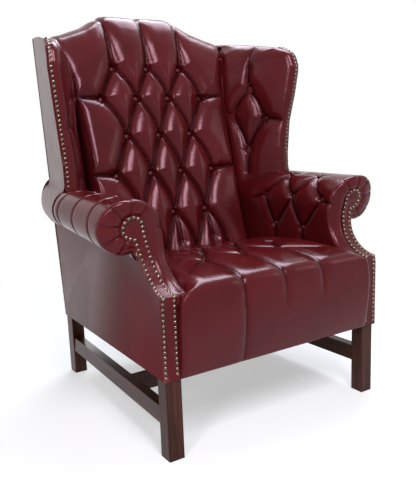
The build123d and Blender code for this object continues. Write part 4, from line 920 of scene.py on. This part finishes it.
# Height, and the distance from the middle and setback of the outer front edge there.
wing_edge = (
    (573, 401.7, 432.6), (704.3, 401.3, 436.1), (808.2, 409.9, 434.8), (901.2, 422.8, 420),
    (972.3, 431, 412.1), (1120, 431, 412.1),
)
# The same for the joint where the wing meets the back.
wing_joint = (
    (573, 277, 578.2), (704.3, 277, 605.7), (808.2, 277.8, 619.7), (901.2, 275.1, 628.4),
    (972.3, 279.8, 635.8), (1050, 300, 656), (1120, 322.7, 677.4),
)
wing_top_x, wing_top_setback = 431, 412
wing_rear_x = 336.5
# Setback and height round the top front corner, and the heights of the top's middle and rear end.
wing_brow = ((411, 985), (430.3, 1030.5), (480, 1054))
brow_setback, brow_height = wing_brow[0]
wing_crown_middle = 1078
wing_crown_height = 1093.5
# Over this run behind the corner the joint climbs so far, and ends at this distance and height.
joint_climb_run, joint_climb = 190, 62
wing_joint_top = (319, 1080)
# It leans in three times as fast as it runs back, climbs two and a half times as fast, and stops short.
joint_lean_rate, joint_rise_rate, joint_rear_gap = 3, 2.5, 4
edge_points, corner_points, top_points = 104, 26, 82
# The border takes no more than this share of the way to the joint, where the wing narrows.
wing_border = 26
wing_border_share = 0.55
# The leather starts behind the edge and just inside it, and swells between border and joint.
wing_tuck, wing_tuck_inward = 7, 1.2
wing_swell_way = (-0.75, -0.66, 0)
wing_swell, wing_swell_share = 9, 0.06
border_shares = (0.03, 0.5, 0.82)
inside_shares = (0.045, 0.12, 0.25, 0.45, 0.65, 0.83, 0.95)
# At the joint it turns in behind the back pad by (inward, rearward, up), less so near the rear.
joint_tucks = ((5, 14, 0), (10, 60, -4))
joint_tuck_end, joint_tuck_ease = 720, 60
wing_foot_lap, wing_foot_ride = 5, 190
border_end, border_ease = 24, 26
wing_button_proud = 1
wing_mesh_columns = 96


def wing_outline():
    """Points (x, setback, height) of the wing's edge, up its front and along its top, and of its joint."""
    back_start = brow_setback + joint_climb_run
    outer, joint = [], []
    for height in np.linspace(wing_foot, brow_height, edge_points):
        outer.append([*read_table(wing_edge, height), height])
        joint.append([*read_table(wing_joint, height), height])
    corner, _ = smooth_line(wing_brow, corner_points)
    far = float(rear(wing_crown_height)) - rail_gap
    crown_middle = ((wing_brow[2][0] + far) / 2, wing_crown_middle)
    top, _ = smooth_line([wing_brow[2], crown_middle, (far, wing_crown_height)], top_points)
    for setback, height in np.vstack([corner[1:], top[1:]]):
        share = (setback - wing_top_setback) / (far - wing_top_setback)
        outer.append([wing_top_x + (wing_rear_x - wing_top_x) * share, setback, height])
        level = brow_height + joint_climb * np.clip((setback - brow_setback) / joint_climb_run, 0, 1)
        x, joint_setback = read_table(wing_joint, level)
        past = np.clip((setback - back_start) / (far - back_start), 0, 1)
        x += (wing_joint_top[0] - x) * min(1, past * joint_lean_rate)
        joint_setback += (far - joint_rear_gap - joint_setback) * past
        height = level + (wing_joint_top[1] - level) * min(1, past * joint_rise_rate)
        joint.append([x, joint_setback, height])
    return np.array(outer), np.array(joint)


outline, joint = wing_outline()
for _ in range(3):
    joint[1:-1] = (joint[:-2] + 2 * joint[1:-1] + joint[2:]) / 4
# Level directions along the wing's outer face to the rear, and square to it, towards the sitter.
outer_way = np.array([wing_rear_x - wing_top_x, rear(brow_height) - rail_gap - wing_top_setback, 0.0])
outer_way /= np.linalg.norm(outer_way)
inward_way = np.array([-outer_way[1], outer_way[0], 0.0])
edge_runs = np.gradient(outline, axis=0)
edge_runs /= np.linalg.norm(edge_runs[:, 1:], axis=1, keepdims=True)
wing_lines = []
for edge, seam, run in zip(outline, joint, edge_runs):
    reach = np.linalg.norm(seam - edge)
    band = edge + inward_way * min(wing_border, reach * wing_border_share)
    rearward = np.array([outer_way[0] / outer_way[1] * run[2], run[2], -run[1]])
    tuck = edge + rearward * wing_tuck + inward_way * wing_tuck_inward
    into = seam - band
    swell = np.array(wing_swell_way) * min(wing_swell, reach * wing_swell_share)
    steps = [tuck, edge + (tuck - edge) * 0.3]
    steps += [edge + (band - edge) * share for share in border_shares]
    steps += [band + into * share + swell * math.sin(math.pi * share**0.7) for share in inside_shares]
    under_back = max(0.0, min(1.0, (joint_tuck_end - seam[1]) / joint_tuck_ease))
    steps += [seam + np.array([x, setback * under_back, height]) for x, setback, height in joint_tucks]
    wing_lines.append(smooth_line(steps, wing_mesh_columns)[0])
wing_grid = np.stack(wing_lines)
for _ in range(4):
    wing_grid[:, 8:-1] = (wing_grid[:, 7:-2] + 2 * wing_grid[:, 8:-1] + wing_grid[:, 9:]) / 4
# The foot of the wing rides over the roll of the arm.
roll_x = roll_shape[0][1]
from_roll_top = (roll_x - wing_grid[0, :, 0]) / (roll_x - arm_inner_x)
arm_ceiling = arm_stuffing + (arm_top - arm_stuffing) * np.sqrt(np.clip(1 - from_roll_top**2, 0, 1))
ride_share = np.clip(1 - (wing_grid[..., 2] - wing_foot) / wing_foot_ride, 0, 1)
wing_grid[..., 2] += (arm_ceiling - wing_foot_lap - wing_foot) * ride_share
wing_base = grid_in_model(wing_grid)
steps = np.linalg.norm(np.diff(wing_grid, axis=1), axis=-1)
from_edge = np.hstack([np.zeros((len(wing_grid), 1)), np.cumsum(steps, axis=1)])
wing_normal = normals_of(wing_base, (-0.7, -0.7, 0))
# The cover is laid out by height and by setback, which the slant of the wing lengthens.
slant = 1.15
wing_across, wing_along = wing_grid[..., 1] * slant, wing_grid[..., 2]
places = sunk_places("wing_buttons_right", wing_base, wing_normal, wing_across, wing_along)
high, low = (choose(places, key=lambda place: place[1])[:3] for choose in (max, min))
behind, ahead = (choose(places, key=lambda place: place[0])[:3] for choose in (max, min))
diamond_reach, diamond_bow, diamond_sag = 56, 6, 0.35
# Four folds join the buttons, and one runs out from each: up, forward, to the back and down.
fold_top, fold_front, fold_foot = 1066, 425 * slant, 640
wing_folds = [
    (high, ahead, diamond_reach, diamond_bow, diamond_sag),
    (high, behind, diamond_reach, -diamond_bow, diamond_sag),
    (ahead, low, diamond_reach, -diamond_bow, diamond_sag),
    (behind, low, diamond_reach, diamond_bow, diamond_sag),
    (high, (high[0] + 8, fold_top, 4), 42, 5, 0.1),
    (ahead, (fold_front, ahead[1] - 14, 4), 44, 3, 0.15),
    (behind, (behind[0] + 40, behind[1] + 8, 12), 50, 0, 0.1),
    (low, (low[0] - 3, fold_foot, 16), 50, 0, 0.2),
]
drawn, wing_crease_shade = draw_in(wing_across, wing_along, wing_folds, [place[:3] for place in places], seed=9)
inside_border = np.clip((from_edge - border_end) / border_ease, 0, 1)
wing_outer = drawn_surface(wing_base, wing_normal, drawn * inside_border)
# The pad's hidden side follows the frame, from behind the border to the joint, and stays below the top.
frame_setback, frame_inset = 10, 14
hidden_setback, hidden_rear_gap = 14, 12
hidden_drop, hidden_drop_start, hidden_drop_ease = 16, 950, 60
frame_line = outline + outer_way * frame_setback + inward_way * frame_inset
to_joint = np.linspace(0, 1, wing_mesh_columns)[None, :, None] ** 1.4
hidden = frame_line[:, None] + (joint - frame_line)[:, None] * to_joint
hidden[..., 1] += np.minimum(hidden_setback, rear(hidden[..., 2]) - hidden_rear_gap - hidden[..., 1])
hidden[..., 2] -= hidden_drop * np.clip((hidden[..., 2] - hidden_drop_start) / hidden_drop_ease, 0, 1)
wing_inner = grid_in_model(hidden)
spots = [button_at(wing_outer, wing_normal, wing_across, wing_along, place) for place in places]
# The painted crease shade stops at the nailed border.
buttoned_pair("wing", wing_outer, wing_inner, wing_crease_shade * inside_border, spots, wing_button_proud)

# Outside covers and arm facings: flat hides of the same leather, drawn over the frame and hemmed under it.
# Each wing's cover runs on down round the rear of the arm roll. The facings are cut to the scroll and nailed.


def eased_copy(node, name):
    """A copy of a CAD cover with its cut edges rolled over."""
    # Turns between faces, in degrees: flat below the first, rolled over above the next, sharp above the last.
    flat_angle, hem_angle, sharp_angle = 0.4, 35, 32
    hem_roll, hem_segments = 1.4, 3
    piece = welded_copy(node, name)
    flat = piece.modifiers.new("flat", "DECIMATE")
    flat.decimate_type = "DISSOLVE"
    flat.angle_limit = math.radians(flat_angle)
    roll_over = piece.modifiers.new("roll_over", "BEVEL")
    roll_over.width = hem_roll * mm
    roll_over.segments = hem_segments
    roll_over.angle_limit = math.radians(hem_angle)
    piece.modifiers.new("split", "TRIANGULATE")
    graph = bpy.context.evaluated_depsgraph_get()
    final = bpy.data.meshes.new_from_object(piece.evaluated_get(graph))
    final.name = name
    piece.modifiers.clear()
    piece.data = final
    final.polygons.foreach_set("use_smooth", [True] * len(final.polygons))
    final.set_sharp_from_angle(angle=math.radians(sharp_angle))
    return piece


cover_leather = leather("oxblood_cover_leather", polish=0.3, crinkled=0.14)
cover_gap = 3.6
cover_thickness = 3
cover_foot = 658
cover_front_gap, cover_rear_gap, cover_top_gap = 1.5, 4.5, 0.5
# Over the roll's rear end the cover stands off further: sideways, downwards at its middle, and in height.
roll_end_setback, roll_end_length = 440, 200
roll_end_widening, roll_end_drop, roll_end_heightening = 1.5, 10, 9
cover_levels, cover_mesh_rows, cover_mesh_columns = 40, 150, 110
first_guess_top, first_guess_foot = 1060, 652
under_cover_setback = 2
turns_round_roll = (66, 50, 32, 14, -6, -26, -46, -66, -84)
edge_heights, edge_xs, edge_setbacks = np.array(wing_edge).T
top_line = outline[np.argmax(outline[:, 2] >= brow_height - 0.1):]
top_line = top_line[np.argsort(top_line[:, 1])]


def wing_cover_column(share):
    """Points down a wing's outside cover at a share of the way from its front edge to the rear."""
    level = np.linspace(first_guess_top, first_guess_foot, cover_levels)
    for _ in range(5):
        start = np.interp(level, edge_heights, edge_setbacks) + cover_front_gap
        width = rear(level) - cover_rear_gap - start
        setback = start + width * share
        ceiling = np.interp(setback, top_line[:, 1], top_line[:, 2]) - cover_top_gap
        level = ceiling + (cover_foot - ceiling) * np.linspace(0, 1, cover_levels)
    edge_x = np.interp(level, edge_heights, edge_xs)
    face_x = edge_x + (wing_rear_x - edge_x) * (setback - start) / (rear(level) - cover_rear_gap - start)
    low_setback = setback[-1] + under_cover_setback
    centre, wide, tall = read_table(roll_shape, low_setback)
    past = min(1.0, max(0.0, (low_setback - roll_end_setback) / roll_end_length))
    middle_height = arm_top - tall - roll_end_drop * past
    wide = wide + cover_gap + roll_end_widening * past
    tall = tall + cover_gap + roll_end_heightening * past
    turns = np.radians(turns_round_roll)
    round_roll = [(centre + wide * math.cos(turn), middle_height + tall * math.sin(turn)) for turn in turns]
    points, _ = smooth_line([*zip(face_x + cover_gap, level), *round_roll], cover_mesh_rows)
    return np.stack([points[:, 0], np.interp(-points[:, 1], -level, setback), points[:, 1]], axis=1)


# The columns crowd towards the front edge.
cover_shares = np.linspace(0, 1, cover_mesh_columns) ** 1.4
cover_base = grid_in_model(np.stack([wing_cover_column(share) for share in cover_shares]))
cover_inner = cover_base - normals_of(cover_base, (1, 0, 0)) * (cover_thickness * mm)
no_crease_shade = np.zeros(cover_base.shape[:2])
for side, flip in (("right", 1), ("left", mirror_x)):
    wing_cover = closed_pad("wing_outside_cover_" + side, cover_base * flip, cover_inner * flip, no_crease_shade)
    cover_piece(wing_cover, cover_leather, "leather", "outside_wing_" + side)
for side in ("left", "right"):
    for node, name in (("outside_arm_", "arm_outside_cover_"), ("arm_facing_", "arm_facing_cover_")):
        cover_piece(eased_copy(node + side, name + side), cover_leather, "leather", node + side)
cover_piece(eased_copy("outside_back", "back_outside_cover"), cover_leather, "leather", "outside_back")

# Studio: a pale floor under soft daylight boxes, with the chair alone on it.
# The camera stands where the photograph was taken from.
floor_reach = 9
floor_corners = [(x * floor_reach, y * floor_reach, 0) for x, y in ((-1, -1), (1, -1), (1, 1), (-1, 1))]
floor_mesh = bpy.data.meshes.new("floor")
floor_mesh.from_pydata(floor_corners, [], [(0, 1, 2, 3)])
floor = bpy.data.objects.new("floor", floor_mesh)
bpy.context.scene.collection.objects.link(floor)


def worked_out(tree, operation, first, second):
    """A value worked out from two others."""
    node = tree.nodes.new("ShaderNodeMath")
    node.operation = operation
    tree.links.new(first, node.inputs[0])
    tree.links.new(second, node.inputs[1])
    return node.outputs["Value"]


def seen_white(tree, lit, output, white_kind, share=None):
    """White to the camera and in reflections, wholly or in a share, over what lights the object."""
    path = tree.nodes.new("ShaderNodeLightPath")
    either = path.outputs["Is Camera Ray"]
    for ray in ("Is Glossy Ray", "Is Transmission Ray"):
        either = worked_out(tree, "MAXIMUM", either, path.outputs[ray])
    if share:
        either = worked_out(tree, "MULTIPLY", either, share)
    mix = tree.nodes.new("ShaderNodeMixShader")
    white = tree.nodes.new(white_kind)
    tree.links.new(either, mix.inputs[0])
    tree.links.new(lit.outputs[0], mix.inputs[1])
    tree.links.new(white.outputs[0], mix.inputs[2])
    tree.links.new(mix.outputs[0], output.inputs["Surface"])
    return white


# The floor keeps its shadow near the chair and fades to plain white further off, in metres.
shadow_reach, white_reach, white_near_chair = 0.6, 1.7, 0.45
material, tree, shader = plain_material("pale_floor")
shader.inputs["Base Color"].default_value = (0.9, 0.9, 0.9, 1)
shader.inputs["Roughness"].default_value = 0.9
coords = tree.nodes.new("ShaderNodeTexCoord")
radius = tree.nodes.new("ShaderNodeVectorMath")
radius.operation = "LENGTH"
tree.links.new(coords.outputs["Object"], radius.inputs[0])
fade = tree.nodes.new("ShaderNodeMapRange")
fade.interpolation_type = "SMOOTHSTEP"
fade.inputs["From Min"].default_value = shadow_reach
fade.inputs["From Max"].default_value = white_reach
fade.inputs["To Min"].default_value = white_near_chair
tree.links.new(radius.outputs["Value"], fade.inputs["Value"])
floor_output = tree.nodes["Material Output"]
seen_white(tree, shader, floor_output, "ShaderNodeEmission", fade.outputs["Result"])
floor.data.materials.append(material)

world = bpy.data.worlds.new("studio_world")
bpy.context.scene.world = world
world.use_nodes = True
tree = world.node_tree
lit = tree.nodes["Background"]
lit.inputs["Color"].default_value = (0.9, 0.93, 1.0, 1)
lit.inputs["Strength"].default_value = 0.2
white = seen_white(tree, lit, tree.nodes["World Output"], "ShaderNodeBackground")
white.inputs["Color"].default_value = (1, 1, 1, 1)

# Name, place, width and height, power and colour of each soft box. All face the middle of the chair.
chair_middle = Vector((0, 0, 0.58))
for name, place, size, power, colour in (
    ("front_softbox", (-0.6, -2.3, 2.8), (0.95, 1.5), 98, (0.95, 0.93, 1)),
    ("key_softbox", (-2.2, -1.7, 2.0), (0.45, 1.4), 42, (1, 0.97, 0.98)),
    ("left_softbox", (-3.2, 0.9, 1.3), (2.2, 2.2), 10, (1, 1, 1)),
    ("right_softbox", (2.3, -2.0, 1.9), (0.6, 1.2), 6, (1, 0.95, 0.92)),
    ("top_softbox", (0.9, 0.7, 2.8), (1.8, 1.3), 84, (0.84, 0.89, 1)),
    ("back_softbox", (1.2, 3.2, 1.3), (1.2, 1.6), 16, (1, 1, 1)),
):
    lamp = bpy.data.lights.new(name, "AREA")
    lamp.color = colour
    lamp.shape = "RECTANGLE"
    lamp.size, lamp.size_y = size
    lamp.energy = power
    lamp_object = bpy.data.objects.new(name, lamp)
    lamp_object.location = place
    lamp_object.rotation_euler = (chair_middle - Vector(place)).to_track_quat("-Z", "Y").to_euler()
    bpy.context.scene.collection.objects.link(lamp_object)

camera_place = (-1.0206, -1.62727, 0.8164)
azimuth, elevation, roll = (math.radians(angle) for angle in (-32.84, 11.13, -2.095))
level_reach = math.cos(elevation)
back_way = Vector((math.sin(azimuth) * level_reach, -math.cos(azimuth) * level_reach, math.sin(elevation)))
right_way = Vector((math.cos(azimuth), math.sin(azimuth), 0))
up_way = back_way.cross(right_way)
rolled_right = math.cos(roll) * right_way + math.sin(roll) * up_way
rolled_up = -math.sin(roll) * right_way + math.cos(roll) * up_way
turn = Matrix((rolled_right, rolled_up, back_way)).transposed().to_4x4()
camera = bpy.data.cameras.new("camera")
camera.lens = 46.25
camera.sensor_width = 36
camera.shift_x = 0.0007
camera.shift_y = 0.0019
camera_object = bpy.data.objects.new("camera", camera)
camera_object.matrix_world = Matrix.Translation(camera_place) @ turn
bpy.context.scene.collection.objects.link(camera_object)
bpy.context.scene.camera = camera_object
bpy.context.scene.view_settings.view_transform = "Standard"
